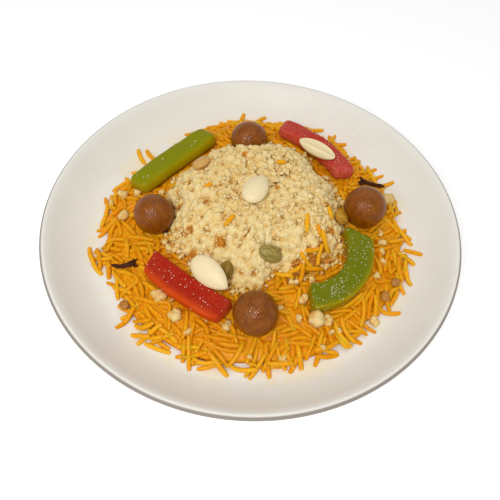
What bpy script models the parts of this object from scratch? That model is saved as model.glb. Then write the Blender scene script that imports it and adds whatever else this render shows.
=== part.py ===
"""Zarda, sweet saffron rice, served on a round stoneware plate.

The rice is a low heap with its outer grains showing, and a mound of crumbled khoya lies on its middle.
Four small gulab jamun, four strips of candied fruit, three blanched almonds, raisins and two cloves lie
round the mound. Metres, +Z up. The origin is under the middle of the plate, on what the plate stands on.
"""

import math
from dataclasses import dataclass

import bmesh
import bpy
import numpy as np
from mathutils import Matrix, Vector

GAP = 0.0004  # between pieces that lie on each other
GOLDEN_ANGLE = math.pi * (3 - math.sqrt(5))
SEED = 7

PLATE_RADIUS = 0.105
PLATE_HEIGHT = 0.019
PLATE_STEPS = 60
FLOOR_RADIUS = 0.080  # the flat floor, inside the rising wall
FLOOR_HEIGHT = 0.005
WALL_RUN = 0.0215
WALL_RISE = 0.0135
WALL_POWER = 1.6  # the wall starts flat and steepens towards the lip
PLATE_THICKNESS = 0.0032
LIP_RADIUS = 0.00175
FOOT_OUTSIDE = 0.065
FOOT_INSIDE = 0.060
FOOT_DRAFT = 0.001

WALL_STATIONS = (0.084, 0.089, 0.094, 0.099)
UNDER_STATIONS = (0.100, 0.090, 0.081)
LIP_TURNS = (140, 90, 40, -15)

# How far each heap reaches from its middle, every 15 degrees from +X
RICE_REACH = (
    0.0805, 0.0800, 0.0790, 0.0805, 0.0825, 0.0840, 0.0835, 0.0835,
    0.0790, 0.0725, 0.0750, 0.0795, 0.0770, 0.0775, 0.0740, 0.0775,
    0.0775, 0.0780, 0.0760, 0.0770, 0.0780, 0.0770, 0.0800, 0.0810,
)
KHOYA_REACH = (
    0.0420, 0.0420, 0.0440, 0.0420, 0.0485, 0.0505, 0.0500, 0.0505,
    0.0505, 0.0490, 0.0500, 0.0485, 0.0430, 0.0455, 0.0465, 0.0435,
    0.0425, 0.0435, 0.0430, 0.0350, 0.0400, 0.0415, 0.0440, 0.0445,
)
RICE_SEGMENTS = 84
RICE_EDGE = 0.0016  # one layer of grains
RICE_RISE = 0.0105
RICE_POWER = 3.5
RICE_BUMP = 0.0005
KHOYA_MIDDLE = (0.0035, 0.003)
KHOYA_SEGMENTS = 44
KHOYA_EDGE = 0.0016
KHOYA_RISE = 0.0148
KHOYA_SHOULDER = 0.5  # the share of the reach where the mound starts to fall away
KHOYA_POWER = 1.7  # how it falls: less steeply at the edge in front, and more so behind by this much
KHOYA_POWER_BEHIND = 0.7
KHOYA_BUMP = 0.0012
BALL_CLEARANCE = 0.0009  # between the mound and the balls beside it
BUMPS_FROM = 1.08  # the share of the mound's reach where the rice's bumps start
BUMPS_OVER = 0.15  # and over how much more of it they rise to their full height

GRAIN_LENGTH = 0.0125
GRAIN_RADIUS = 0.00105
GRAIN_BOW = 0.0008
GRAIN_CLEARANCE = 0.0018  # between a grain and the toppings
TOP_GRAINS = 62
TOP_GRAIN_INSET = 0.004
EDGE_GRAINS = 34
EDGE_GRAIN_INSET = 0.0022
CRUMB_CLEARANCE = 0.001
MOUND_CRUMBS = 26
MOUND_CRUMB_SIZES = (0.0034, 0.0052)
MOUND_CRUMB_SPREAD = 0.93  # the share of the mound's reach that they are strewn over
STRIP_ROUNDING = 0.36  # the radius of a strip's edges, as a share of its thickness
CLOVE_STEM_RADII = (0.0013, 0.0009)
CLOVE_HEAD = 0.0030  # how much of a clove's length its head takes
CLOVE_BUD_RADIUS = 0.0017
LOBE_LENGTH = 0.0028
LOBE_RADII = (0.0011, 0.0004)
LOBE_SPREAD = 55


@dataclass
class Ball:
    """A ball pressed a little into the rice."""

    name: str
    x: float
    y: float
    radius: float
    sunk: float = 0.0016

    def frame(self):
        """Its place, from its middle."""
        return Matrix.Translation((self.x, self.y, rice_surface(self.x, self.y) + self.radius - self.sunk))

    def underside(self, x, y):
        """The height of its lower side over a point of the heap, or None beside it."""
        reach = self.radius + GAP
        inside = reach**2 - (x - self.x) ** 2 - (y - self.y) ** 2
        return self.frame().translation.z - math.sqrt(inside) if inside > 0 else None

    def covers(self, x, y, margin):
        """Whether a point, seen from above, is under it or within the margin of it."""
        return math.hypot(x - self.x, y - self.y) < self.radius + margin


@dataclass
class Topping:
    """A piece that lies on the heap, its length turned to the heading, and leant about its length."""

    name: str
    x: float
    y: float
    heading: float
    length: float
    width: float
    thickness: float
    colour: str
    lean: float = 0.0
    raised: float = 0.0

    PRESSED = 0.004  # how far beyond its outline the heap is pressed flat
    SINK = 0.0006

    def flat_frame(self):
        """Its heading and place, seen from above."""
        return Matrix.Translation((self.x, self.y, 0)) @ Matrix.Rotation(math.radians(self.heading), 4, "Z")

    def plane(self):
        """The height at its middle, and the normal, of the plane that fits the bare heap below it."""
        spots = []
        for along in np.linspace(-self.length / 2, self.length / 2, 7):
            for across in (-self.width / 2, 0, self.width / 2):
                spot = self.flat_frame() @ self.bent(along, across, 0)
                spots.append((spot.x - self.x, spot.y - self.y, heap_surface(spot.x, spot.y)))
        spots = np.array(spots)
        sides = np.column_stack((spots[:, :2], np.ones(len(spots))))
        slope_x, slope_y, height = np.linalg.lstsq(sides, spots[:, 2], rcond=None)[0]
        return height - self.SINK + self.raised, Vector((-slope_x, -slope_y, 1)).normalized()

    def frame(self):
        """Its place, from the middle of its underside."""
        height, normal = self.plane()
        slope = Vector((0, 0, 1)).rotation_difference(normal).to_matrix().to_4x4()
        turned = Matrix.Rotation(math.radians(self.heading), 4, "Z")
        middle = Matrix.Translation((0, 0, self.thickness / 2))
        leant = middle @ Matrix.Rotation(math.radians(self.lean), 4, "X") @ middle.inverted()
        return Matrix.Translation((self.x, self.y, height + GAP)) @ slope @ turned @ leant

    def bent(self, along, across, up):
        """A point of the piece in its own frame."""
        return Vector((along, across, up))

    def straight(self, point):
        """How far along and across the piece a point of its own frame is."""
        return point.x, point.y

    def underside(self, x, y):
        """The height of the plane it lies on, under it and close round it, or None further off."""
        height, normal = self.plane()
        along, across = self.straight(self.flat_frame().inverted() @ Vector((x, y, 0)))
        beside = abs(along) > self.length / 2 + self.PRESSED or abs(across) > self.width / 2 + self.PRESSED
        slope = ((x - self.x) * normal.x + (y - self.y) * normal.y) / normal.z
        return None if beside else height - slope + GAP

    def covers(self, x, y, margin):
        """Whether a point, seen from above, is under it or within the margin of it."""
        along, across = self.straight(self.flat_frame().inverted() @ Vector((x, y, 0)))
        return abs(along) < self.length / 2 + margin and abs(across) < self.width / 2 + margin


@dataclass
class Strip(Topping):
    """A strip of candied fruit, cut from a ring of the bend's radius; its bulging side is +Y."""

    bend: float = 0.0
    taper: float = 0.0  # how much narrower its ends are, as a share of its width
    cut: float = 0.0  # how much shorter its bulging side is, at its start

    def bent(self, along, across, up):
        """A point of the straight strip, bent round the ring's middle."""
        turn = along / self.bend
        reach = self.bend + across
        return Vector((reach * math.sin(turn), reach * math.cos(turn) - self.bend, up))

    def straight(self, point):
        """The inverse of bent."""
        reach = math.hypot(point.x, point.y + self.bend)
        return math.atan2(point.x, point.y + self.bend) * self.bend, reach - self.bend


BALL_BROWN = "8B4810"
ALMOND_CREAM = "F0E1B4"
CLOVE_BROWN = "33190F"

BALLS = (
    Ball("gulab_jamun_front", 0.0038, -0.0559, 0.0106, 0.0020),
    Ball("gulab_jamun_left", -0.0486, -0.0027, 0.0100),
    Ball("gulab_jamun_right", 0.0570, 0.0090, 0.0107, 0.0020),
    Ball("gulab_jamun_back", -0.0035, 0.0522, 0.0100, 0.0026),
)

# name, x, y, heading, length, width, thickness, colour
STRIPS = (
    Strip(
        "candied_green_left", -0.0430, 0.0405, 48, 0.0535, 0.0146, 0.0080, "7D820C",
        bend=0.4, taper=0.18,
    ),
    Strip(
        "candied_green_right", 0.0496, -0.0288, 241.5, 0.0535, 0.0130, 0.0080, "697608",
        bend=0.029, taper=0.10, cut=0.007,
    ),
    Strip(
        "candied_red_right", 0.0348, 0.0552, -46.5, 0.0512, 0.0126, 0.0075, "B92D1E",
        bend=0.058, taper=0.08,
    ),
    Strip(
        "candied_red_left", -0.0295, -0.0417, 145, 0.0497, 0.0130, 0.0085, "AF2614",
        bend=0.177, taper=0.14,
    ),
)

ALMONDS = (
    Topping("almond_top", 0.0014, 0.0056, 68, 0.0184, 0.0124, 0.0070, ALMOND_CREAM),
    Topping(
        "almond_side", -0.0175, -0.0363, -41, 0.0223, 0.0126, 0.0072, ALMOND_CREAM,
        lean=10, raised=0.0048,
    ),
    Topping(
        "almond_half", 0.0318, 0.0440, 168, 0.0212, 0.0108, 0.0070, ALMOND_CREAM,
        lean=-24, raised=0.0066,
    ),
)

RAISINS = (
    Topping("raisin_tan", -0.0260, 0.0262, 55, 0.0105, 0.0095, 0.0054, "C39144", raised=-0.0008),
    Topping("raisin_green", 0.0085, -0.0242, -12, 0.0120, 0.0085, 0.0062, "8C7832", raised=-0.0016),
    Topping("raisin_golden", 0.0426, 0.0013, 5, 0.0096, 0.0078, 0.0058, "B48220"),
    Topping("raisin_olive", -0.0103, -0.0322, 70, 0.0094, 0.0072, 0.0056, "86691A", raised=-0.0012),
    Topping("raisin_amber_back", 0.0715, -0.0270, 30, 0.0052, 0.0042, 0.0030, "A5663A"),
    Topping("raisin_amber_front", 0.0658, -0.0356, 70, 0.0058, 0.0046, 0.0032, "A86A28"),
    Topping("raisin_brown", -0.0583, -0.0466, 140, 0.0054, 0.0044, 0.0030, "AF732D"),
)

# A clove's head is towards -X of its own length
CLOVES = (
    Topping("clove_left", -0.0608, -0.0256, 180, 0.0132, 0.0050, 0.0046, CLOVE_BROWN),
    Topping("clove_right", 0.0632, 0.0343, 4, 0.0152, 0.0050, 0.0046, CLOVE_BROWN),
)

TOPPINGS = BALLS + STRIPS + ALMONDS + RAISINS + CLOVES

# Crumbs of khoya on the rice: x, y and how wide
RICE_CRUMBS = (
    (-0.0688, 0.0190, 0.0056), (-0.0600, 0.0150, 0.0051), (-0.0655, 0.0026, 0.0056),
    (-0.0423, -0.0455, 0.0056), (-0.0331, -0.0546, 0.0060), (-0.0270, -0.0610, 0.0047),
    (-0.0125, -0.0630, 0.0050), (0.0259, -0.0437, 0.0056), (0.0320, -0.0546, 0.0070),
    (0.0364, -0.0520, 0.0047), (0.0244, -0.0530, 0.0040), (0.0175, -0.0712, 0.0056),
    (0.0600, -0.0487, 0.0056), (0.0727, 0.0294, 0.0056), (0.0660, -0.0083, 0.0040),
    (0.0668, -0.0160, 0.0038),
)


def around(values, bearing):
    """A value that runs smoothly through the given ones, spread evenly round the circle."""
    turn = bearing / math.tau % 1 * len(values)
    before = int(turn) % len(values)
    share = turn - int(turn)
    share = share * share * (3 - 2 * share)
    return values[before] * (1 - share) + values[(before + 1) % len(values)] * share


def rice_reach(bearing):
    """The heap's outline, with the small bays between the grains that stick out."""
    bays = math.sin(9 * bearing + 1) + math.sin(16 * bearing + 2.2) + math.sin(27 * bearing)
    return around(RICE_REACH, bearing) + 0.0006 * bays


def khoya_reach(bearing):
    """The mound's outline, which stays clear of the balls beside it."""
    reach = around(KHOYA_REACH, bearing)
    for ball in BALLS:
        offset = Vector((ball.x - KHOYA_MIDDLE[0], ball.y - KHOYA_MIDDLE[1]))
        along = offset.x * math.cos(bearing) + offset.y * math.sin(bearing)
        across = offset.y * math.cos(bearing) - offset.x * math.sin(bearing)
        clear = ball.radius + BALL_CLEARANCE
        if along > 0 and abs(across) < clear:
            reach = min(reach, along - math.sqrt(clear**2 - across**2))
    return reach


def plate_inside(radius):
    """The height of the plate's upper side."""
    outside = max(radius - FLOOR_RADIUS, 0)
    return FLOOR_HEIGHT + WALL_RISE * (outside / WALL_RUN) ** WALL_POWER


def rice_surface(x, y):
    """The bare heap of rice, without its grains."""
    radius = math.hypot(x, y)
    share = min(radius / around(RICE_REACH, math.atan2(y, x)), 1)
    return plate_inside(radius) + RICE_EDGE + RICE_RISE * (1 - share**RICE_POWER)


def khoya_share(x, y):
    """How far a point is from the mound's middle, as a share of the mound's reach there."""
    x, y = x - KHOYA_MIDDLE[0], y - KHOYA_MIDDLE[1]
    return math.hypot(x, y) / around(KHOYA_REACH, math.atan2(y, x))


def khoya_surface(x, y):
    """The bare mound of khoya: nearly flat on top, then falling away to its edge."""
    share = min(khoya_share(x, y), 1)
    fall = max(share - KHOYA_SHOULDER, 0) / (1 - KHOYA_SHOULDER)
    bearing = math.atan2(y - KHOYA_MIDDLE[1], x - KHOYA_MIDDLE[0])
    power = KHOYA_POWER + KHOYA_POWER_BEHIND * math.sin(bearing)
    return rice_surface(x, y) + KHOYA_EDGE + KHOYA_RISE * (1 - fall**power)


def heap_surface(x, y):
    """What a topping lies on: the mound inside its outline, and the rice outside it."""
    return khoya_surface(x, y) if khoya_share(x, y) < 1 else rice_surface(x, y)


def pressed(x, y, height):
    """A heap's height at a point, lowered where a topping lies on it."""
    for topping in TOPPINGS:
        underside = topping.underside(x, y)
        if underside is not None:
            height = min(height, underside - GAP)
    return height


def grain_bumps(x, y):
    """Long low bumps of about a grain's size, in three directions."""
    total = 0
    for turn, length in ((0.3, 0.0062), (1.4, 0.0071), (2.4, 0.0066)):
        along = x * math.cos(turn) + y * math.sin(turn)
        total += math.sin(math.tau * along / length + 5 * turn)
    return RICE_BUMP * total


def linear(hex_colour):
    """The linear colour for an sRGB hex value."""
    parts = [int(hex_colour[i : i + 2], 16) / 255 for i in (0, 2, 4)]
    return [part / 12.92 if part <= 0.04045 else ((part + 0.055) / 1.055) ** 2.4 for part in parts] + [1]


def material(name, colour, roughness):
    """A plain material of one colour."""
    made = bpy.data.materials.new(name)
    made.use_nodes = True
    shader = made.node_tree.nodes["Principled BSDF"]
    shader.inputs["Base Color"].default_value = linear(colour)
    shader.inputs["Roughness"].default_value = roughness
    shader.inputs["Metallic"].default_value = 0
    return made


def add_object(name, shape, collection, frame=None, finish=None):
    """An object made from a bmesh, which is freed."""
    mesh = bpy.data.meshes.new(name)
    shape.to_mesh(mesh)
    shape.free()
    mesh.shade_smooth()
    if finish:
        mesh.materials.append(finish)
    made = bpy.data.objects.new(name, mesh)
    collection.objects.link(made)
    if frame:
        made.matrix_world = frame
    return made


def round_shape(segments, rings):
    """A ball of radius 1 with its poles on the X axis."""
    shape = bmesh.new()
    turned = Matrix.Rotation(math.pi / 2, 4, "Y")
    bmesh.ops.create_uvsphere(shape, u_segments=segments, v_segments=rings, radius=1, matrix=turned)
    return shape


def lump(size, rng):
    """A rough crumb: an icosahedron with its corners pushed in and out."""
    shape = bmesh.new()
    bmesh.ops.create_icosphere(shape, subdivisions=1, radius=size / 2)
    for corner in shape.verts:
        corner.co *= rng.uniform(0.8, 1.15)
    return shape


def drum(top_shares, under_shares, segments):
    """A closed drum of radius 1: rings at these shares on its top, at z = 1, and underside, at z = 0."""
    shape = bmesh.new()
    outline = [(share, 1) for share in top_shares] + [(share, 0) for share in reversed(under_shares)]
    corners = [shape.verts.new((share, 0, side)) for share, side in outline]
    sides = [shape.edges.new(pair) for pair in zip(corners, corners[1:])]
    bmesh.ops.spin(
        shape,
        geom=corners + sides,
        cent=(0, 0, 0),
        axis=(0, 0, 1),
        angle=math.tau,
        steps=segments,
        use_merge=True,
    )
    bmesh.ops.remove_doubles(shape, verts=shape.verts, dist=1e-5)
    bmesh.ops.recalc_face_normals(shape, faces=shape.faces)
    return shape


def keep_largest_piece(mesh):
    """Drops loose scraps and sealed hollows: every shell but the one with most faces."""
    shape = bmesh.new()
    shape.from_mesh(mesh)
    shape.faces.ensure_lookup_table()
    left = set(shape.faces)
    shells = []
    while left:
        shell = [left.pop()]
        for face in shell:
            for edge in face.edges:
                near = [other for other in edge.link_faces if other in left]
                left.difference_update(near)
                shell.extend(near)
        shells.append(shell)
    shells.sort(key=len)
    for shell in shells[:-1]:
        bmesh.ops.delete(shape, geom=shell, context="FACES")
    shape.to_mesh(mesh)
    shape.free()


def fuse(core, pieces, collection):
    """Joins the pieces' collection to the core, so that the core is one closed body."""
    union = core.modifiers.new("union", "BOOLEAN")
    union.operation = "UNION"
    union.operand_type = "COLLECTION"
    union.collection = collection
    union.solver = "EXACT"
    evaluated = core.evaluated_get(bpy.context.evaluated_depsgraph_get())
    joined = bpy.data.meshes.new_from_object(evaluated)
    joined.name = core.name
    core.modifiers.remove(union)
    core.data = joined
    keep_largest_piece(joined)
    for piece in pieces:
        bpy.data.objects.remove(piece)
    bpy.data.collections.remove(collection)


def loose_collection(name):
    """A collection for pieces that are joined to another object and then removed."""
    made = bpy.data.collections.new(name)
    bpy.context.scene.collection.children.link(made)
    return made


def plate_profile():
    """The plate's half section: along its floor, up the wall, round the lip, down to the foot and in."""
    points = [(0, FLOOR_HEIGHT), (FLOOR_RADIUS - 0.001, FLOOR_HEIGHT)]
    for radius in WALL_STATIONS:
        points.append((radius, plate_inside(radius)))
    for turn in LIP_TURNS:
        reach = math.radians(turn)
        lip = (PLATE_RADIUS - LIP_RADIUS, PLATE_HEIGHT - LIP_RADIUS)
        points.append((lip[0] + LIP_RADIUS * math.cos(reach), lip[1] + LIP_RADIUS * math.sin(reach)))
    for radius in UNDER_STATIONS:
        points.append((radius, plate_inside(radius) - PLATE_THICKNESS))
    under = FLOOR_HEIGHT - PLATE_THICKNESS
    points.append((FOOT_OUTSIDE + FOOT_DRAFT, under))
    points.append((FOOT_OUTSIDE, 0))
    points.append((FOOT_INSIDE, 0))
    points.append((FOOT_INSIDE - FOOT_DRAFT, under))
    points.append((0, under))
    return points


def build_plate(collection):
    """The plate: its half section turned round the middle."""
    shape = bmesh.new()
    corners = [shape.verts.new((radius, 0, height)) for radius, height in plate_profile()]
    for pair in zip(corners, corners[1:]):
        shape.edges.new(pair)
    plate = add_object("plate", shape, collection, finish=material("stoneware", "E1DACD", 0.35))
    turn = plate.modifiers.new("turn", "SCREW")
    turn.steps = PLATE_STEPS
    turn.render_steps = PLATE_STEPS
    turn.use_merge_vertices = True
    turn.merge_threshold = 0.0001
    return plate


def grain_shape():
    """A grain along X, a little curved, with pointed ends."""
    shape = round_shape(5, 4)
    for corner in shape.verts:
        along = corner.co.x
        corner.co.x = along * GRAIN_LENGTH / 2
        corner.co.y = corner.co.y * GRAIN_RADIUS + GRAIN_BOW * (1 - along * along)
        corner.co.z *= GRAIN_RADIUS
    return shape


def grain_rest(x, y):
    """The height of a grain's middle: half in the heap, or on the plate beyond it."""
    on_heap = math.hypot(x, y) < around(RICE_REACH, math.atan2(y, x))
    height = rice_surface(x, y) + 0.0002 if on_heap else 0
    return max(height, plate_inside(math.hypot(x, y)) + GRAIN_RADIUS + GAP)


def place_grain(x, y, heading, number, collection):
    """Lays a grain along the heap, or returns None where it would meet the mound or a topping."""
    step = Vector((math.cos(heading), math.sin(heading))) * GRAIN_LENGTH / 2
    spots = [(x - step.x, y - step.y), (x, y), (x + step.x, y + step.y)]
    for spot in spots:
        covered = any(topping.covers(*spot, GRAIN_CLEARANCE) for topping in TOPPINGS)
        if covered or khoya_share(*spot) * min(KHOYA_REACH) < min(KHOYA_REACH) + GRAIN_CLEARANCE:
            return None
    start = Vector((*spots[0], grain_rest(*spots[0])))
    end = Vector((*spots[-1], grain_rest(*spots[-1])))
    turned = Vector((1, 0, 0)).rotation_difference(end - start).to_matrix().to_4x4()
    middle = (start + end) / 2
    middle.z = max(middle.z, grain_rest(x, y))
    return add_object(f"grain_{number}", grain_shape(), collection, Matrix.Translation(middle) @ turned)


def scatter_grains(rng, collection):
    """Grains spread evenly over the showing rice, then a ring of them that sticks out of its edge."""
    grains = []
    inner = min(KHOYA_REACH)
    for number in range(TOP_GRAINS):
        share = (number + 0.5) / TOP_GRAINS
        bearing = number * GOLDEN_ANGLE
        outer = rice_reach(bearing) - TOP_GRAIN_INSET
        radius = math.sqrt(inner**2 + (outer**2 - inner**2) * share)
        spot = radius * math.cos(bearing), radius * math.sin(bearing)
        grains.append(place_grain(*spot, rng.uniform(0, math.pi), number, collection))
    for number in range(EDGE_GRAINS):
        bearing = math.tau * (number + rng.uniform(-0.3, 0.3)) / EDGE_GRAINS
        radius = rice_reach(bearing) - EDGE_GRAIN_INSET
        spot = radius * math.cos(bearing), radius * math.sin(bearing)
        heading = bearing + rng.uniform(-0.9, 0.9)
        grains.append(place_grain(*spot, heading, TOP_GRAINS + number, collection))
    return [grain for grain in grains if grain]


def scatter_crumbs(rng, collection):
    """The crumbs of khoya that lie on the rice."""
    crumbs = []
    for number, (x, y, size) in enumerate(RICE_CRUMBS):
        if any(topping.covers(x, y, size / 2 + GAP) for topping in TOPPINGS):
            continue
        frame = Matrix.Translation((x, y, rice_surface(x, y) + 0.2 * size))
        crumbs.append(add_object(f"crumb_{number}", lump(size, rng), collection, frame))
    return crumbs


def build_rice(collection):
    """The heap: a drum pressed to the plate below and the toppings above, with grains fused on."""
    rng = np.random.default_rng(SEED)
    top_shares = [0, 0.28, 0.42, *np.linspace(0.5, 1, 14)]
    shape = drum(top_shares, [0, 0.955, 1], RICE_SEGMENTS)
    for corner in shape.verts:
        bearing = math.atan2(corner.co.y, corner.co.x)
        reach = math.hypot(corner.co.x, corner.co.y) * rice_reach(bearing)
        x, y = reach * math.cos(bearing), reach * math.sin(bearing)
        floor = plate_inside(reach) + GAP
        height = floor
        if corner.co.z > 0.5:
            grown = min(max((khoya_share(x, y) - BUMPS_FROM) / BUMPS_OVER, 0), 1)
            height = max(pressed(x, y, rice_surface(x, y) + grown * grain_bumps(x, y)), floor + GAP)
        corner.co = x, y, height
    rice = add_object("rice", shape, collection, finish=material("saffron rice", "E49619", 0.4))
    loose = loose_collection("grains")
    fuse(rice, scatter_grains(rng, loose) + scatter_crumbs(rng, loose), loose)
    return rice


def build_khoya(collection):
    """The mound of crumbled khoya, with its larger crumbs fused on."""
    rng = np.random.default_rng(SEED)
    shape = drum([0, *np.linspace(0.14, 1, 11)], [0, 0.6, 1], KHOYA_SEGMENTS)
    for corner in shape.verts:
        bearing = math.atan2(corner.co.y, corner.co.x)
        reach = math.hypot(corner.co.x, corner.co.y) * khoya_reach(bearing)
        x = KHOYA_MIDDLE[0] + reach * math.cos(bearing)
        y = KHOYA_MIDDLE[1] + reach * math.sin(bearing)
        floor = rice_surface(x, y) + GAP
        height = floor
        if corner.co.z > 0.5:
            relief = rng.uniform(-KHOYA_BUMP, KHOYA_BUMP)
            height = max(pressed(x, y, khoya_surface(x, y) + relief), floor + 2 * GAP)
        corner.co = x, y, height
    khoya = add_object("khoya", shape, collection, finish=material("crumbled khoya", "EBD796", 0.75))
    loose = loose_collection("crumbs")
    crumbs = []
    for number in range(MOUND_CRUMBS):
        bearing = number * GOLDEN_ANGLE
        reach = MOUND_CRUMB_SPREAD * math.sqrt((number + 0.5) / MOUND_CRUMBS) * khoya_reach(bearing)
        x = KHOYA_MIDDLE[0] + reach * math.cos(bearing)
        y = KHOYA_MIDDLE[1] + reach * math.sin(bearing)
        size = rng.uniform(*MOUND_CRUMB_SIZES)
        if any(topping.covers(x, y, size / 2 + CRUMB_CLEARANCE) for topping in TOPPINGS):
            continue
        frame = Matrix.Translation((x, y, khoya_surface(x, y) + 0.1 * size))
        crumbs.append(add_object(f"crumb_{number}", lump(size, rng), loose, frame))
    fuse(khoya, crumbs, loose)
    return khoya


def build_balls(collection):
    """The fried milk balls."""
    for ball in BALLS:
        shape = round_shape(16, 9)
        bmesh.ops.scale(shape, vec=Vector((1, 1, 1)) * ball.radius, verts=shape.verts)
        finish = material(ball.name, BALL_BROWN, 0.35)
        add_object(ball.name, shape, collection, ball.frame(), finish)


def build_strips(collection):
    """The candied fruit: a bar cut across, its ends drawn in, bent to its ring and rounded."""
    for strip in STRIPS:
        shape = bmesh.new()
        bmesh.ops.create_cube(shape, size=1)
        long_sides = [edge for edge in shape.edges if abs(edge.verts[0].co.x - edge.verts[1].co.x) > 0.5]
        bmesh.ops.subdivide_edges(shape, edges=long_sides, cuts=5)
        for corner in shape.verts:
            along, across, up = corner.co.x, corner.co.y, corner.co.z + 0.5
            narrowed = across * (1 - strip.taper * abs(2 * along) ** 4)
            shortened = strip.cut * (across + 0.5) * max(-2 * along, 0) ** 4
            corner.co = strip.bent(
                along * strip.length + shortened, narrowed * strip.width, up * strip.thickness
            )
        finish = material(strip.name, strip.colour, 0.3)
        made = add_object(strip.name, shape, collection, strip.frame(), finish)
        soft = made.modifiers.new("soft edges", "BEVEL")
        soft.width = STRIP_ROUNDING * strip.thickness
        soft.segments = 2
        soft.limit_method = "ANGLE"
        soft.angle_limit = math.radians(40)


def almond_width(along):
    """An almond's half width, as a share, from its blunt end at -1 to its tip at 1."""
    return 0.965 * (1 + along) ** 0.5 * (1 - along) ** 0.8


def build_almonds(collection):
    """Blanched almonds; the half one lies with its split face up."""
    for almond in ALMONDS:
        shape = round_shape(12, 8)
        split = almond.name == "almond_half"
        for corner in shape.verts:
            along = corner.co.x
            girth = math.hypot(corner.co.y, corner.co.z)
            swell = almond_width(along) / girth if girth > 1e-4 else 0
            across, up = corner.co.y * swell, corner.co.z * swell
            if split and up > 0:
                up = -0.1 * (1 - across * across)
            half = Vector((almond.length / 2, almond.width / 2, almond.thickness / 2))
            corner.co = along * half.x, across * half.y, (up + 1) * half.z
        finish = material(almond.name, almond.colour, 0.4)
        add_object(almond.name, shape, collection, almond.frame(), finish)


def build_raisins(collection):
    """Raisins, with lengthwise folds."""
    for number, raisin in enumerate(RAISINS):
        large = raisin.length > 0.006
        shape = round_shape(8 if large else 6, 6 if large else 5)
        for corner in shape.verts:
            turn = math.atan2(corner.co.y, corner.co.z)
            fold = 0.95 + 0.05 * math.sin(4 * turn + number)
            corner.co.x *= raisin.length / 2
            corner.co.y *= raisin.width / 2 * fold
            corner.co.z = raisin.thickness / 2 * (1 + corner.co.z * fold)
        finish = material(raisin.name, raisin.colour, 0.3)
        add_object(raisin.name, shape, collection, raisin.frame(), finish)


def clove_lobe(number):
    """One of the four lobes of a clove's head, leaning out from the head's base at the origin."""
    lobe = bmesh.new()
    bmesh.ops.create_cone(
        lobe,
        cap_ends=True,
        segments=4,
        radius1=LOBE_RADII[0],
        radius2=LOBE_RADII[1],
        depth=LOBE_LENGTH,
        matrix=Matrix.Translation((0, 0, LOBE_LENGTH / 2)),
    )
    spread = Matrix.Rotation(math.radians(-LOBE_SPREAD), 4, "Y")
    lobe.transform(Matrix.Rotation(math.pi / 2 * number, 4, "X") @ spread)
    return lobe


def build_cloves(collection):
    """Cloves: a tapered stem, and a head of four lobes round a bud."""
    for clove in CLOVES:
        base = Matrix.Translation((CLOVE_HEAD - clove.length / 2, 0, clove.thickness / 2))
        stem = clove.length - CLOVE_HEAD
        shape = bmesh.new()
        bmesh.ops.create_cone(
            shape,
            cap_ends=True,
            segments=7,
            radius1=CLOVE_STEM_RADII[0],
            radius2=CLOVE_STEM_RADII[1],
            depth=stem,
            matrix=base @ Matrix.Translation((stem / 2, 0, 0)) @ Matrix.Rotation(math.pi / 2, 4, "Y"),
        )
        finish = material(clove.name, clove.colour, 0.6)
        made = add_object(clove.name, shape, collection, finish=finish)
        loose = loose_collection("lobes")
        bud = round_shape(6, 5)
        bmesh.ops.scale(bud, vec=Vector((1, 1, 1)) * CLOVE_BUD_RADIUS, verts=bud.verts)
        bud_place = base @ Matrix.Translation((CLOVE_BUD_RADIUS - CLOVE_HEAD, 0, 0))
        pieces = [add_object("bud", bud, loose, bud_place)]
        for number in range(4):
            pieces.append(add_object(f"lobe_{number}", clove_lobe(number), loose, base))
        fuse(made, pieces, loose)
        made.matrix_world = clove.frame()


def main():
    """Clears the scene and builds every sub-part."""
    for old in list(bpy.data.objects):
        bpy.data.objects.remove(old)
    collection = bpy.data.collections.new("zarda")
    bpy.context.scene.collection.children.link(collection)
    build_plate(collection)
    build_rice(collection)
    build_khoya(collection)
    build_balls(collection)
    build_strips(collection)
    build_almonds(collection)
    build_raisins(collection)
    build_cloves(collection)


main()
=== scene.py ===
"""Zarda, sweet saffron rice with khoya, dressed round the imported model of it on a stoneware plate.

Every piece is made at true size in metres, +Z up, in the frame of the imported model, whose solids the
pieces replace. The heap's rules and the toppings' places repeat the named sizes of the part's source.
"""

import logging
import math
from collections.abc import Callable, Sequence
from dataclasses import dataclass
from enum import Enum
from functools import partial
from typing import Any

import bmesh
import bpy
import numpy as np
from bpy.types import GeometryNodeTree, Material, Mesh, Node, NodeSocket, NodeTree, Object
from mathutils import Matrix, Vector, noise

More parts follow.
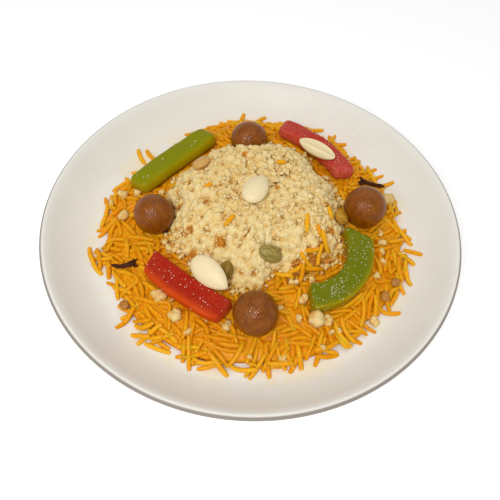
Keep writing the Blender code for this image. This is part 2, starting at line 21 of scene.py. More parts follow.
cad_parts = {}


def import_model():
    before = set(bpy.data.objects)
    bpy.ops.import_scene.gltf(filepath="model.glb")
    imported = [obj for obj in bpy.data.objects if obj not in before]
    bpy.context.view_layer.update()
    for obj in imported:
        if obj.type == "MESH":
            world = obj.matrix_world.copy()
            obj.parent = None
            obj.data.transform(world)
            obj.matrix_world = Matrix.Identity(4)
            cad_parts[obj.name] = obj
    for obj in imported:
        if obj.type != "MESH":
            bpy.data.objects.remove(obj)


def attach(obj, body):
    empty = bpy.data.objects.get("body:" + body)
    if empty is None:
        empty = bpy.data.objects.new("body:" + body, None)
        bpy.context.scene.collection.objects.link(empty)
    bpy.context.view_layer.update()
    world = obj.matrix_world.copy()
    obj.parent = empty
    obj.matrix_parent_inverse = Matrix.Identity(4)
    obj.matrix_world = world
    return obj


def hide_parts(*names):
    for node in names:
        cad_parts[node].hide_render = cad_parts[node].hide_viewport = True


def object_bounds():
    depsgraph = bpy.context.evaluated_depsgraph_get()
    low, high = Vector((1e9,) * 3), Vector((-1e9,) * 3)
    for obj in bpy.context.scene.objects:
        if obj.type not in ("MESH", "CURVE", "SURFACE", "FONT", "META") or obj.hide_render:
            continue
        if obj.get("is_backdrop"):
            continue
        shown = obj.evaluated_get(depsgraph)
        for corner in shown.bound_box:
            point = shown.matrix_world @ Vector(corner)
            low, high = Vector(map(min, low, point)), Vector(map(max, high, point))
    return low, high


log = logging.getLogger("zarda")

MILLIMETRE = 0.001
GAP = 0.0004  # between pieces that lie on each other
SEED = 7
BODY = "root"

# Sockets of a Mix node that mixes colours, and of its factor
MIX_FACTOR = 0
MIX_A = 6
MIX_B = 7
MIX_RESULT = 2
Pair = tuple[np.ndarray, np.ndarray]
Triple = tuple[np.ndarray, np.ndarray, np.ndarray]
Laid = tuple[list[np.ndarray], list[np.ndarray], list[float]]  # for each grain its points, its girths and its tint


def linear(hex_colour: str) -> tuple[float, float, float, float]:
    """The linear colour for an sRGB hex value.

    Args:
        hex_colour: six hex digits.

    Returns:
        Red, green, blue and an alpha of 1.
    """
    parts = [int(hex_colour[i : i + 2], 16) / 255 for i in (0, 2, 4)]
    return *(part / 12.92 if part <= 0.04045 else ((part + 0.055) / 1.055) ** 2.4 for part in parts), 1.0


def feed(tree: NodeTree, node: Node, inputs: dict[str | int, Any]) -> None:
    """Sets a node's inputs.

    Args:
        tree: the shader or geometry tree.
        node: the node.
        inputs: for an input's name or number, a value or the output socket that feeds it.
    """
    for name, value in inputs.items():
        if isinstance(value, NodeSocket):
            tree.links.new(value, node.inputs[name])
        else:
            node.inputs[name].default_value = value


def add_node(
    tree: NodeTree,
    kind: str,
    settings: dict[str, Any] | None = None,
    inputs: dict[str | int, Any] | None = None,
) -> Node:
    """Adds a node to a tree, with its settings and links.

    Args:
        tree: the shader or geometry tree.
        kind: the node's type name.
        settings: its properties.
        inputs: for an input's name or number, a value or the output socket that feeds it.

    Returns:
        The node.
    """
    node = tree.nodes.new(kind)
    for name, value in (settings or {}).items():
        setattr(node, name, value)
    feed(tree, node, inputs or {})
    return node

def smoothstep(value: np.ndarray, low: float, high: float) -> np.ndarray:
    """A value's smooth rise from 0 at low to 1 at high."""
    share = np.clip((value - low) / (high - low), 0, 1)
    return share * share * (3 - 2 * share)


def around(values: Sequence[float], bearing: np.ndarray) -> np.ndarray:
    """Values that run smoothly through the given ones, spread evenly round the circle.

    Args:
        values: the values to run through, from the bearing 0.
        bearing: the bearings, in radians.

    Returns:
        One value for each bearing.
    """
    turn = np.mod(np.asarray(bearing) / math.tau, 1.0) * len(values)
    before = np.floor(turn).astype(int) % len(values)
    share = smoothstep(turn - np.floor(turn), 0, 1)
    table = np.asarray(values)
    return table[before] * (1 - share) + table[(before + 1) % len(values)] * share


class Slot(Enum):
    """The record's material slots."""

    STONEWARE = "stoneware"
    RICE = "saffron_rice"
    KHOYA = "khoya"
    MILK_BALL = "gulab_jamun"
    GREEN = "candied_green"
    RED = "candied_red"
    ALMOND = "almond"
    RAISIN = "raisin"
    CLOVE = "clove"


@dataclass(frozen=True)
class Shading:
    """What a finish is built with: its material, the node tree, the shader and the object's own coordinates."""

    material: Material
    tree: NodeTree
    shader: Node
    place: NodeSocket

    @classmethod
    def begin(cls, name: str) -> "Shading":
        """Starts a material with an empty Principled shader.

        Args:
            name: the material's name.

        Returns:
            What its finish is built with.
        """
        material = bpy.data.materials.new(name)
        material.use_nodes = True
        tree = material.node_tree
        place = add_node(tree, "ShaderNodeTexCoord").outputs["Object"]
        return cls(material, tree, tree.nodes["Principled BSDF"], place)

    def set(self, **values: Any) -> Material:
        """Sets or links the shader's own sockets, an underscore standing for a space, and returns the material."""
        feed(self.tree, self.shader, {name.replace("_", " "): value for name, value in values.items()})
        return self.material

    def varied(self, attribute: str, size: float, detail: float, width: float) -> NodeSocket:
        """A mesh's own attribute, made uneven by noise and kept between 0 and 1.

        Args:
            attribute: the attribute's name.
            size: how large the noise's patches are.
            detail: the noise's finer layers.
            width: how far apart the noise can move it.

        Returns:
            The uneven attribute.
        """
        own = add_node(self.tree, "ShaderNodeAttribute", {"attribute_name": attribute}).outputs["Fac"]
        cloud = {"Vector": self.place, "Scale": 1 / size, "Detail": detail}
        patches = add_node(self.tree, "ShaderNodeTexNoise", {}, cloud)
        centred = {0: patches.outputs["Fac"], 1: width, 2: -width / 2}
        shift = add_node(self.tree, "ShaderNodeMath", {"operation": "MULTIPLY_ADD"}, centred).outputs[0]
        both = add_node(self.tree, "ShaderNodeMath", {"operation": "ADD", "use_clamp": True}, {0: own, 1: shift})
        return both.outputs[0]

    def dented(self, size: float, detail: float, strength: float, depth: float) -> tuple[NodeSocket, NodeSocket]:
        """Noise on the object's own coordinates, and the normal of a surface that it dents.

        Args:
            size: how wide the dents are.
            detail: the noise's finer layers.
            strength: how much of the bump shows.
            depth: how deep the dents are.

        Returns:
            The noise, from 0 to 1, and the normal.
        """
        cloud = {"Vector": self.place, "Scale": 1 / size, "Detail": detail}
        dents = add_node(self.tree, "ShaderNodeTexNoise", {}, cloud).outputs["Fac"]
        bump = {"Strength": strength, "Distance": depth, "Height": dents}
        return dents, add_node(self.tree, "ShaderNodeBump", {}, bump).outputs["Normal"]

    def overlaid(
        self,
        below: NodeSocket | tuple[float, ...],
        colour: str,
        value: NodeSocket,
        span: tuple[float, float] = (0.0, 1.0),
        most: float = 1.0,
        soft: bool = False,
    ) -> NodeSocket:
        """Lays a colour over another one while a value runs through a span.

        Args:
            below: the colour that it is laid over.
            colour: the hex colour that is laid over it.
            value: the value.
            span: the value at which the upper colour begins to show, and at which it shows most.
            most: how much of it shows at most.
            soft: whether it begins and ends gradually.

        Returns:
            The mixed colour.
        """
        ends = {"Value": value, "From Min": span[0], "From Max": span[1], "To Max": most}
        kind = {"interpolation_type": "SMOOTHSTEP" if soft else "LINEAR"}
        share = add_node(self.tree, "ShaderNodeMapRange", kind, ends).outputs[0]
        mixed = {MIX_FACTOR: share, MIX_A: below, MIX_B: linear(colour)}
        return add_node(self.tree, "ShaderNodeMix", {"data_type": "RGBA"}, mixed).outputs[MIX_RESULT]


@dataclass(frozen=True)
class GlazedStoneware:
    """Stoneware dipped in an off-white satin glaze: fine iron specks, a yellow tint near the rice that is partly a
    syrup stain and partly painted light bounced from the rice, and a darker line painted round the outermost edge.
    """

    glaze: str = "E9E6DC"
    shaded_glaze: str = "E2DED4"
    edge_line_colour: str = "8F867C"
    speck: str = "8E8375"
    syrup_and_bounce: str = "E9DCBC"
    speck_spacing: float = 5.0 * MILLIMETRE
    speck_edge: tuple[float, float] = (0.055, 0.03)  # as shares of the spacing
    ripple: float = 14.0 * MILLIMETRE  # the glaze's slow unevenness
    syrup_and_bounce_reach: tuple[float, float] = (0.0895, 0.0785)  # no yellow tint from the first on, and most at the second
    lip_line: tuple[float, float] = (0.0015, 0.0007)  # where the line at the edge begins and is full, from the rim

    def make(self, rim: float) -> Material:
        """Builds the material.

        Args:
            rim: the radius of the plate's outermost edge.

        Returns:
            The material.
        """
        shading = Shading.begin("satin_glazed_stoneware")
        tree = shading.tree
        flat = add_node(tree, "ShaderNodeVectorMath", {"operation": "MULTIPLY"}, {0: shading.place, 1: (1, 1, 0)})
        reach = add_node(tree, "ShaderNodeVectorMath", {"operation": "LENGTH"}, {0: flat.outputs[0]}).outputs["Value"]
        cloud, normal = shading.dented(self.ripple, 3.0, 0.25, 0.0004)
        # Near the rice the glaze takes a yellow tint in patches: partly a syrup stain, partly painted orange light
        # bounced from the rice
        near = {"Value": reach, "From Min": self.syrup_and_bounce_reach[0], "From Max": self.syrup_and_bounce_reach[1]}
        near_rice = add_node(tree, "ShaderNodeMapRange", {"interpolation_type": "SMOOTHSTEP"}, near).outputs[0]
        patchy = {"Value": cloud, "From Min": 0.45, "From Max": 0.62}
        run_out = add_node(tree, "ShaderNodeMapRange", {}, patchy).outputs[0]
        syrup_and_bounce_share = add_node(tree, "ShaderNodeMath", {"operation": "MULTIPLY"}, {0: near_rice, 1: run_out}).outputs[0]
        dots = add_node(tree, "ShaderNodeTexVoronoi", {}, {"Vector": shading.place, "Scale": 1 / self.speck_spacing})
        colour = shading.overlaid(linear(self.glaze), self.shaded_glaze, cloud)
        colour = shading.overlaid(colour, self.syrup_and_bounce, syrup_and_bounce_share)
        colour = shading.overlaid(colour, self.speck, dots.outputs["Distance"], self.speck_edge, 0.7)
        # A darker line is painted round the outermost edge of the rim
        line = rim - self.lip_line[0], rim - self.lip_line[1]
        colour = shading.overlaid(colour, self.edge_line_colour, reach, line, soft=True)
        return shading.set(Base_Color=colour, Normal=normal, Roughness=0.42, IOR=1.5, Specular_IOR_Level=0.34)


@dataclass(frozen=True)
class SaffronRice:
    """Long-grain rice boiled with saffron and syrup: moist, yellow-orange; a deeper orange where it lies low, partly
    the syrup's stain and partly painted shade, and lighter where it stands proud, as painted light.
    """

    name: str = "saffron_rice"
    # The darkest colour partly stands for shade in the gaps, and the lightest for light on the proudest grains:
    # painted shade and painted light
    low: str = "CE7A06"
    body: str = "E3980A"
    high: str = "EEB21E"
    fleck: float = 2.5 * MILLIMETRE  # how fast the stain changes along a grain
    skin: float = 0.6 * MILLIMETRE  # the skin's fine unevenness

    def make(self) -> Material:
        """Builds the material, which reads the grains' own attribute `tint`, from 0 low to 1 high: painted shade where
        it lies low, painted light where it stands proud.

        Returns:
            The material.
        """
        shading = Shading.begin(self.name)
        tone = shading.varied("tint", self.fleck, 2.0, 0.6)
        colour = shading.overlaid(linear(self.low), self.body, tone, (0.0, 0.5))
        colour = shading.overlaid(colour, self.high, tone, (0.5, 1.0))
        _, normal = shading.dented(self.skin, 1.0, 0.25, 0.0001)
        shading.set(Subsurface_Weight=0.55, Subsurface_Scale=0.0022)
        return shading.set(Base_Color=colour, Normal=normal, Roughness=0.32, IOR=1.42, Specular_IOR_Level=0.15)


@dataclass(frozen=True)
class CrumbledKhoya:
    """Khoya, milk boiled down to a dry cream-coloured solid and crumbled: matt; orange where it lies low, partly the
    syrup's stain and partly painted shade, and palest where it stands proud, as painted light.
    """

    # The orange for the gaps is partly the syrup's stain and partly painted shade; the palest colour, for what stands
    # proud, is partly painted light
    stain_and_shade: str = "D08420"
    body: str = "EAC87C"
    dry_and_lit: str = "F2DCA4"
    crumb: float = 1.3 * MILLIMETRE
    crust: float = 0.45 * MILLIMETRE

    def make(self) -> Material:
        """Builds the material, which reads the crumbs' own attribute `tint`, from 0 orange, for the syrup's stain and
        painted shade, to 1 pale, for dryness and painted light.

        Returns:
            The material.
        """
        shading = Shading.begin("crumbled_khoya")
        tone = shading.varied("tint", self.crumb, 3.0, 1.1)
        colour = shading.overlaid(linear(self.stain_and_shade), self.body, tone, (0.0, 0.4))
        colour = shading.overlaid(colour, self.dry_and_lit, tone, (0.4, 1.0))
        _, normal = shading.dented(self.crust, 3.0, 0.9, 0.0004)
        return shading.set(Base_Color=colour, Normal=normal, Roughness=0.75, IOR=1.45, Specular_IOR_Level=0.2)


@dataclass(frozen=True)
class FriedMilkBall:
    """Milk dough fried brown and steeped in syrup: a finely pored skin, moist enough for a broken highlight."""

    dark: str = "7A3C00"
    body: str = "945002"
    light: str = "B87220"
    blotch: float = 3.5 * MILLIMETRE
    pore: float = 0.55 * MILLIMETRE

    def make(self) -> Material:
        """Builds the material, its film of syrup dented less than its skin.

        Returns:
            The material.
        """
        shading = Shading.begin("fried_milk_ball")
        cloud = {"Vector": shading.place, "Scale": 1 / self.blotch, "Detail": 4.0}
        blotch = add_node(shading.tree, "ShaderNodeTexNoise", {}, cloud).outputs["Fac"]
        pores, skin = shading.dented(self.pore, 3.0, 1.0, 0.0007)
        _, film = shading.dented(self.pore, 3.0, 0.62, 0.0004)
        colour = shading.overlaid(linear(self.dark), self.body, blotch, (0.35, 0.68))
        colour = shading.overlaid(colour, self.light, pores, (0.52, 0.75), 0.6)
        shading.set(Coat_Normal=film, Coat_Weight=0.6, Coat_Roughness=0.04)
        return shading.set(Base_Color=colour, Normal=skin, Roughness=0.4, IOR=1.45, Specular_IOR_Level=0.01)


@dataclass(frozen=True)
class CandiedFruit:
    """Ash gourd boiled in dyed syrup and dried: a satin, slightly clear body whose cut sides are painted lighter, a
    painted glow of light through the fruit.
    """

    name: str
    top: str
    # The sides' colour is lighter: painted glow of light through the fruit
    side: str
    frosted: str
    frosting: float = 0.5
    blotch: float = 5.0 * MILLIMETRE
    frost: float = 1.6 * MILLIMETRE

    def make(self) -> Material:
        """Builds the material, which reads the strip's own attributes `side` and `frost`, from 0 to 1; `side` marks
        where the painted glow shows.

        Returns:
            The material.
        """
        shading = Shading.begin(self.name)
        tree = shading.tree
        # The lighter colour of the sides is painted glow, standing for light that passes through the fruit
        painted_glow = shading.varied("side", self.blotch, 2.0, 0.5)
        flecks, normal = shading.dented(self.frost, 3.0, 0.3, 0.0003)
        frosty = add_node(tree, "ShaderNodeAttribute", {"attribute_name": "frost"}).outputs["Fac"]
        spread = {"Value": flecks, "From Min": 0.34, "From Max": 0.74, "To Max": self.frosting}
        patchy = add_node(tree, "ShaderNodeMapRange", {}, spread).outputs[0]
        frosting = add_node(tree, "ShaderNodeMath", {"operation": "MULTIPLY"}, {0: patchy, 1: frosty}).outputs[0]
        colour = shading.overlaid(linear(self.top), self.side, painted_glow)
        colour = shading.overlaid(colour, self.frosted, frosting)
        return shading.set(Base_Color=colour, Normal=normal, Roughness=0.3, IOR=1.47, Specular_IOR_Level=0.08)


@dataclass(frozen=True)
class SugarCrystal:
    """Sugar that grew on the candied fruit as it dried: small clear crystals that flash white."""

    shaded: str = "D9D2B4"
    colour: str = "F4F0DE"
    change: float = 2.5 * MILLIMETRE  # how far apart a shaded and a bright crystal lie

    def make(self) -> Material:
        """Builds the material.

        Returns:
            The material.
        """
        shading = Shading.begin("sugar_crystal")
        cloud = {"Vector": shading.place, "Scale": 1 / self.change, "Detail": 0.0}
        tint = add_node(shading.tree, "ShaderNodeTexNoise", {}, cloud).outputs["Fac"]
        colour = shading.overlaid(linear(self.shaded), self.colour, tint)
        return shading.set(Base_Color=colour, Roughness=0.12, IOR=1.54)


@dataclass(frozen=True)
class BlanchedAlmond:
    """A skinned almond: cream, faintly veined along its length, with a dull waxy gloss."""

    # The darker colour shows in the veins, and as painted shade on the split almond's flanks
    vein_and_shade: str = "DFC78C"
    body: str = "ECDAAE"
    vein: float = 1.1 * MILLIMETRE

    def make(self) -> Material:
        """Builds the material, which reads the nut's own attribute `rim`, 1 where it is shaded.

        Returns:
            The material.
        """
        shading = Shading.begin("blanched_almond")
        veins, normal = shading.dented(self.vein, 2.0, 0.2, 0.0002)
        spread = {"Value": veins, "From Min": 0.35, "From Max": 0.7, "To Max": 0.35}
        uneven = add_node(shading.tree, "ShaderNodeMapRange", {}, spread).outputs[0]
        rim = add_node(shading.tree, "ShaderNodeAttribute", {"attribute_name": "rim"}).outputs["Fac"]
        both = add_node(shading.tree, "ShaderNodeMath", {"operation": "ADD", "use_clamp": True}, {0: rim, 1: uneven})
        colour = shading.overlaid(linear(self.body), self.vein_and_shade, both.outputs[0])
        return shading.set(Base_Color=colour, Normal=normal, Roughness=0.4, IOR=1.46, Specular_IOR_Level=0.35)


@dataclass(frozen=True)
class DriedRaisin:
    """A dried grape swollen with syrup: half clear, glossy, with painted shade darkening its folds."""

    name: str
    fold_shade: str
    body: str
    wrinkle: float = 1.4 * MILLIMETRE

    def make(self) -> Material:
        """Builds the material, which reads the raisin's own attribute for its folds, 1 deep in its folds, where
        painted shade darkens it.

        Returns:
            The material.
        """
        shading = Shading.begin(self.name)
        colour = shading.overlaid(linear(self.body), self.fold_shade, shading.varied("fold_shade", self.wrinkle, 3.0, 0.6))
        _, normal = shading.dented(self.wrinkle, 3.0, 0.4, 0.0003)
        return shading.set(Base_Color=colour, Normal=normal, Roughness=0.36, IOR=1.47, Specular_IOR_Level=0.22)


@dataclass(frozen=True)
class DriedClove:
    """A dried flower bud, nearly black, rough and finely wrinkled."""

    dark: str = "2C140A"
    light: str = "56301A"
    wrinkle: float = 0.8 * MILLIMETRE

    def make(self) -> Material:
        """Builds the material.

        Returns:
            The material.
        """
        shading = Shading.begin("dried_clove")
        wrinkles, normal = shading.dented(self.wrinkle, 3.0, 0.7, 0.0003)
        colour = shading.overlaid(linear(self.dark), self.light, wrinkles)
        return shading.set(Base_Color=colour, Normal=normal, Roughness=0.55, IOR=1.45, Specular_IOR_Level=0.12)

def mesh_from(name: str, points: np.ndarray, faces: Sequence[Sequence[int]]) -> Mesh:
    """A smooth-shaded mesh from its points and faces.

    Args:
        name: its name.
        points: its points.
        faces: for each face, its points' numbers.

    Returns:
        The mesh.
    """
    mesh = bpy.data.meshes.new(name)
    mesh.from_pydata(np.asarray(points, float).tolist(), [], faces)
    mesh.shade_smooth()
    mesh.update()
    return mesh


def closed_by_rings(name: str, rings: np.ndarray, start: np.ndarray, end: np.ndarray) -> Mesh:
    """A closed mesh through rings of points, with a single point beyond the first and the last ring.

    Args:
        name: the mesh's name.
        rings: ring by ring, the points round each: an array of rings x points x 3.
        start: the pole before the first ring.
        end: the pole after the last ring.

    Returns:
        The mesh, its faces pointing outwards.
    """
    count, across = rings.shape[:2]
    points = np.vstack((rings.reshape(-1, 3), start, end))
    faces = []
    for ring in range(count - 1):
        for spot in range(across):
            beside = (spot + 1) % across
            low, high = ring * across, (ring + 1) * across
            faces.append((low + spot, low + beside, high + beside, high + spot))
    for spot in range(across):
        beside = (spot + 1) % across
        last = (count - 1) * across
        faces.append((spot, count * across, beside))
        faces.append((last + spot, last + beside, count * across + 1))
    mesh = mesh_from(name, points, faces)
    shape = bmesh.new()
    shape.from_mesh(mesh)
    bmesh.ops.recalc_face_normals(shape, faces=shape.faces)
    shape.to_mesh(mesh)
    shape.free()
    return mesh


def store(mesh: Mesh, name: str, values: np.ndarray) -> None:
    """Stores a number, or a vector, for each point of a mesh as a named attribute.

    Args:
        mesh: the mesh.
        name: the attribute's name.
        values: one row for each point.
    """
    values = np.asarray(values, np.float32)
    kind, part = ("FLOAT_VECTOR", "vector") if values.ndim > 1 else ("FLOAT", "value")
    mesh.attributes.new(name, kind, "POINT").data.foreach_set(part, values.ravel())

def linked(name: str, mesh: Mesh, finish: Material | None = None) -> Object:
    """An object for a mesh, linked to the scene, with its finish.

    Args:
        name: its name.
        mesh: its mesh.
        finish: its material, or None where the mesh has its own.

    Returns:
        The object.
    """
    if finish:
        mesh.materials.clear()
        mesh.materials.append(finish)
    made = bpy.data.objects.new(name, mesh)
    bpy.context.scene.collection.objects.link(made)
    return made


def add_piece(name: str, mesh: Mesh, finish: Material | None, slot: Slot, *nodes: str) -> Object:
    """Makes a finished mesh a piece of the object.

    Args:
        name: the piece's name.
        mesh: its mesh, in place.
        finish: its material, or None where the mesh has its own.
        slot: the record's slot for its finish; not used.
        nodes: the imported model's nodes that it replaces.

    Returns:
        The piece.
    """
    piece = linked(name, mesh, finish)
    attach(piece, BODY)
    if nodes:
        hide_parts(*nodes)
    log.info("%s: %d faces, %s", name, len(mesh.polygons), ", ".join(nodes) or "beside the nodes")
    return piece


def baked(source: Mesh, tree: GeometryNodeTree, values: dict[str, Any]) -> Mesh:
    """Runs a Geometry Nodes tree on a mesh.

    Args:
        source: the mesh that the tree starts from, which is removed.
        tree: the tree.
        values: a value for each of its named inputs.

    Returns:
        The result as a plain mesh.
    """
    carrier = linked("carrier", source)
    modifier = carrier.modifiers.new("nodes", "NODES")
    modifier.node_group = tree
    for item in tree.interface.items_tree:
        if item.in_out == "INPUT" and item.name in values:
            modifier[item.identifier] = values[item.name]
    depsgraph = bpy.context.evaluated_depsgraph_get()
    result = bpy.data.meshes.new_from_object(carrier.evaluated_get(depsgraph), depsgraph=depsgraph)
    carrier.modifiers.remove(modifier)
    bpy.data.objects.remove(carrier)
    bpy.data.meshes.remove(source)
    return result


@dataclass(frozen=True)
class TreeEnds:
    """A new Geometry Nodes tree with its named inputs, and the way to close it."""

    tree: GeometryNodeTree
    inputs: Node

    @classmethod
    def begin(cls, name: str, sizes: dict[str, str]) -> "TreeEnds":
        """Starts a tree.

        Args:
            name: the tree's name.
            sizes: for each named input, its socket type's last word.

        Returns:
            The tree and its input node.
        """
        tree = bpy.data.node_groups.new(name, "GeometryNodeTree")
        tree.interface.new_socket("Geometry", in_out="INPUT", socket_type="NodeSocketGeometry")
        for size, kind in sizes.items():
            tree.interface.new_socket(size, in_out="INPUT", socket_type="NodeSocket" + kind)
        tree.interface.new_socket("Geometry", in_out="OUTPUT", socket_type="NodeSocketGeometry")
        return cls(tree, add_node(tree, "NodeGroupInput"))

    def close(self, shape: NodeSocket, smooth: bool) -> GeometryNodeTree:
        """Ends the tree: realizes its instances and sets the material from the input `Finish`.

        Args:
            shape: the geometry.
            smooth: whether it is shaded smooth.

        Returns:
            The tree.
        """
        shaded = add_node(self.tree, "GeometryNodeSetShadeSmooth", {}, {"Geometry": shape, "Shade Smooth": smooth})
        real = add_node(self.tree, "GeometryNodeRealizeInstances", {}, {"Geometry": shaded.outputs[0]})
        finish = {"Geometry": real.outputs[0], "Material": self.inputs.outputs["Finish"]}
        dressed = add_node(self.tree, "GeometryNodeSetMaterial", {}, finish)
        add_node(self.tree, "NodeGroupOutput", {}, {0: dressed.outputs[0]})
        return self.tree


def grain_tree() -> GeometryNodeTree:
    """Turns each line of points into a closed grain whose girth follows the attribute `girth`.

    Returns:
        The tree.
    """
    ends = TreeEnds.begin("grains_along_lines", {"Sides": "Int", "Finish": "Material"})
    tree, given = ends.tree, ends.inputs.outputs
    lines = add_node(tree, "GeometryNodeMeshToCurve", {}, {"Mesh": given["Geometry"]}).outputs[0]
    girth = add_node(tree, "GeometryNodeInputNamedAttribute", {"data_type": "FLOAT"}, {"Name": "girth"}).outputs[0]
    ring = add_node(tree, "GeometryNodeCurvePrimitiveCircle", {}, {"Resolution": given["Sides"], "Radius": 1.0})
    sweep = {"Curve": lines, "Profile Curve": ring.outputs[0], "Scale": girth, "Fill Caps": True}
    return ends.close(add_node(tree, "GeometryNodeCurveToMesh", {}, sweep).outputs[0], True)


def crumb_tree() -> GeometryNodeTree:
    """Puts a lump on each point, sized by the attribute `size` and turned by `turn`, and roughens it.

    Returns:
        The tree.
    """
    ends = TreeEnds.begin("crumbs_on_points", {"Relief": "Float", "Relief scale": "Float", "Finish": "Material"})
    tree, given = ends.tree, ends.inputs.outputs
    lump = add_node(tree, "GeometryNodeMeshUVSphere", {}, {"Segments": 7, "Rings": 6, "Radius": 1.0}).outputs[0]
    size, turn = (
        add_node(tree, "GeometryNodeInputNamedAttribute", {"data_type": "FLOAT_VECTOR"}, {"Name": name}).outputs[0]
        for name in ("size", "turn")
    )
    lumps = {"Points": given["Geometry"], "Instance": lump, "Rotation": turn, "Scale": size}
    placed = add_node(tree, "GeometryNodeInstanceOnPoints", {}, lumps).outputs[0]
    real = add_node(tree, "GeometryNodeRealizeInstances", {}, {"Geometry": placed}).outputs[0]
    place = add_node(tree, "GeometryNodeInputPosition").outputs[0]
    waves = {"Vector": place, "Scale": given["Relief scale"], "Detail": 2.0}
    relief = add_node(tree, "ShaderNodeTexNoise", {}, waves).outputs["Color"]
    centred = add_node(tree, "ShaderNodeVectorMath", {"operation": "SUBTRACT"}, {0: relief, 1: (0.5, 0.5, 0.5)})
    push = {0: centred.outputs[0], "Scale": given["Relief"]}
    offset = add_node(tree, "ShaderNodeVectorMath", {"operation": "SCALE"}, push).outputs[0]
    rough = add_node(tree, "GeometryNodeSetPosition", {}, {"Geometry": real, "Offset": offset})
    return ends.close(rough.outputs[0], True)


def crystal_tree() -> GeometryNodeTree:
    """Strews small cubes over faces, as densely as the attribute `sugar` says.

    Returns:
        The tree.
    """
    sizes = {"Crystal": "Float", "Density": "Float", "Seed": "Int", "Finish": "Material"}
    ends = TreeEnds.begin("crystals_on_faces", sizes)
    tree, given = ends.tree, ends.inputs.outputs
    times = {"operation": "MULTIPLY"}
    sugar = add_node(tree, "GeometryNodeInputNamedAttribute", {"data_type": "FLOAT"}, {"Name": "sugar"}).outputs[0]
    density = add_node(tree, "ShaderNodeMath", times, {0: sugar, 1: given["Density"]}).outputs[0]
    faces = {"Mesh": given["Geometry"], "Density": density, "Seed": given["Seed"]}
    strewn = add_node(tree, "GeometryNodeDistributePointsOnFaces", {"distribute_method": "RANDOM"}, faces)
    any_way = {0: (0.0, 0.0, 0.0), 1: (math.tau, math.tau, math.tau), "Seed": 3}
    turn = add_node(tree, "FunctionNodeRandomValue", {"data_type": "FLOAT_VECTOR"}, any_way).outputs[0]
    share = add_node(tree, "FunctionNodeRandomValue", {"data_type": "FLOAT"}, {2: 0.45, 3: 1.25, "Seed": 5}).outputs[1]
    size = add_node(tree, "ShaderNodeMath", times, {0: share, 1: given["Crystal"]}).outputs[0]
    cube = add_node(tree, "GeometryNodeMeshCube").outputs[0]
    cubes = {"Points": strewn.outputs["Points"], "Instance": cube, "Rotation": turn, "Scale": size}
    return ends.close(add_node(tree, "GeometryNodeInstanceOnPoints", {}, cubes).outputs[0], False)

@dataclass(frozen=True)
class PlateSizes:
    """The plate's section, as in the part's source."""

    radius: float = 0.105
    height: float = 0.019
    floor_radius: float = 0.080
    floor_height: float = 0.005
    wall_run: float = 0.0215
    wall_rise: float = 0.0135
    wall_power: float = 1.6
    thickness: float = 0.0032
    lip: float = 0.00175
    foot_outside: float = 0.065
    foot_inside: float = 0.060
    foot_draft: float = 0.001

    def inside(self, reach: np.ndarray) -> np.ndarray:
        """The height of the upper side at a distance from the middle."""
        beyond = np.maximum(reach - self.floor_radius, 0)
        return self.floor_height + self.wall_rise * (beyond / self.wall_run) ** self.wall_power


@dataclass(frozen=True)
class Heap:
    """The rules of the bare heap: the rice, and the mound of khoya on its middle."""

    plate: PlateSizes = PlateSizes()
    rice_reach: tuple[float, ...] = (
        0.0805, 0.0800, 0.0790, 0.0805, 0.0825, 0.0840, 0.0835, 0.0835,
        0.0790, 0.0725, 0.0750, 0.0795, 0.0770, 0.0775, 0.0740, 0.0775,
        0.0775, 0.0780, 0.0760, 0.0770, 0.0780, 0.0770, 0.0800, 0.0810,
    )
    khoya_reach: tuple[float, ...] = (
        0.0420, 0.0420, 0.0440, 0.0420, 0.0485, 0.0505, 0.0500, 0.0505,
        0.0505, 0.0490, 0.0500, 0.0485, 0.0430, 0.0455, 0.0465, 0.0435,
        0.0425, 0.0435, 0.0430, 0.0350, 0.0400, 0.0415, 0.0440, 0.0445,
    )
    rice_edge: float = 0.0016
    rice_rise: float = 0.0105
    rice_power: float = 3.5
    khoya_x: float = 0.0035
    khoya_y: float = 0.003
    khoya_edge: float = 0.0016
    khoya_rise: float = 0.0148
    khoya_shoulder: float = 0.5
    khoya_power: float = 1.7
    khoya_power_behind: float = 0.7

    def rice_share(self, x: np.ndarray, y: np.ndarray) -> np.ndarray:
        """How far a point is from the middle, as a share of the rice's reach there."""
        return np.hypot(x, y) / around(self.rice_reach, np.arctan2(y, x))

    def rice(self, x: np.ndarray, y: np.ndarray) -> np.ndarray:
        """The height of the bare rice."""
        top = self.rice_edge + self.rice_rise * (1 - np.minimum(self.rice_share(x, y), 1) ** self.rice_power)
        return self.plate.inside(np.hypot(x, y)) + top

    def khoya_share(self, x: np.ndarray, y: np.ndarray) -> np.ndarray:
        """How far a point is from the mound's middle, as a share of the mound's reach there."""
        along, across = x - self.khoya_x, y - self.khoya_y
        return np.hypot(along, across) / around(self.khoya_reach, np.arctan2(across, along))

    def khoya(self, x: np.ndarray, y: np.ndarray) -> np.ndarray:
        """The height of the bare mound: nearly flat on top, then falling away to its edge.

        Args:
            x: how far to the right of the plate's middle each point is.
            y: how far behind it.

        Returns:
            The height of each point.
        """
        share = np.minimum(self.khoya_share(x, y), 1)
        fall = np.maximum(share - self.khoya_shoulder, 0) / (1 - self.khoya_shoulder)
        bearing = np.arctan2(y - self.khoya_y, x - self.khoya_x)
        power = self.khoya_power + self.khoya_power_behind * np.sin(bearing)
        return self.rice(x, y) + self.khoya_edge + self.khoya_rise * (1 - fall**power)

    def top(self, x: np.ndarray, y: np.ndarray) -> np.ndarray:
        """What a topping lies on: the mound inside its outline, and the rice outside it."""
        return np.where(self.khoya_share(x, y) < 1, self.khoya(x, y), self.rice(x, y))


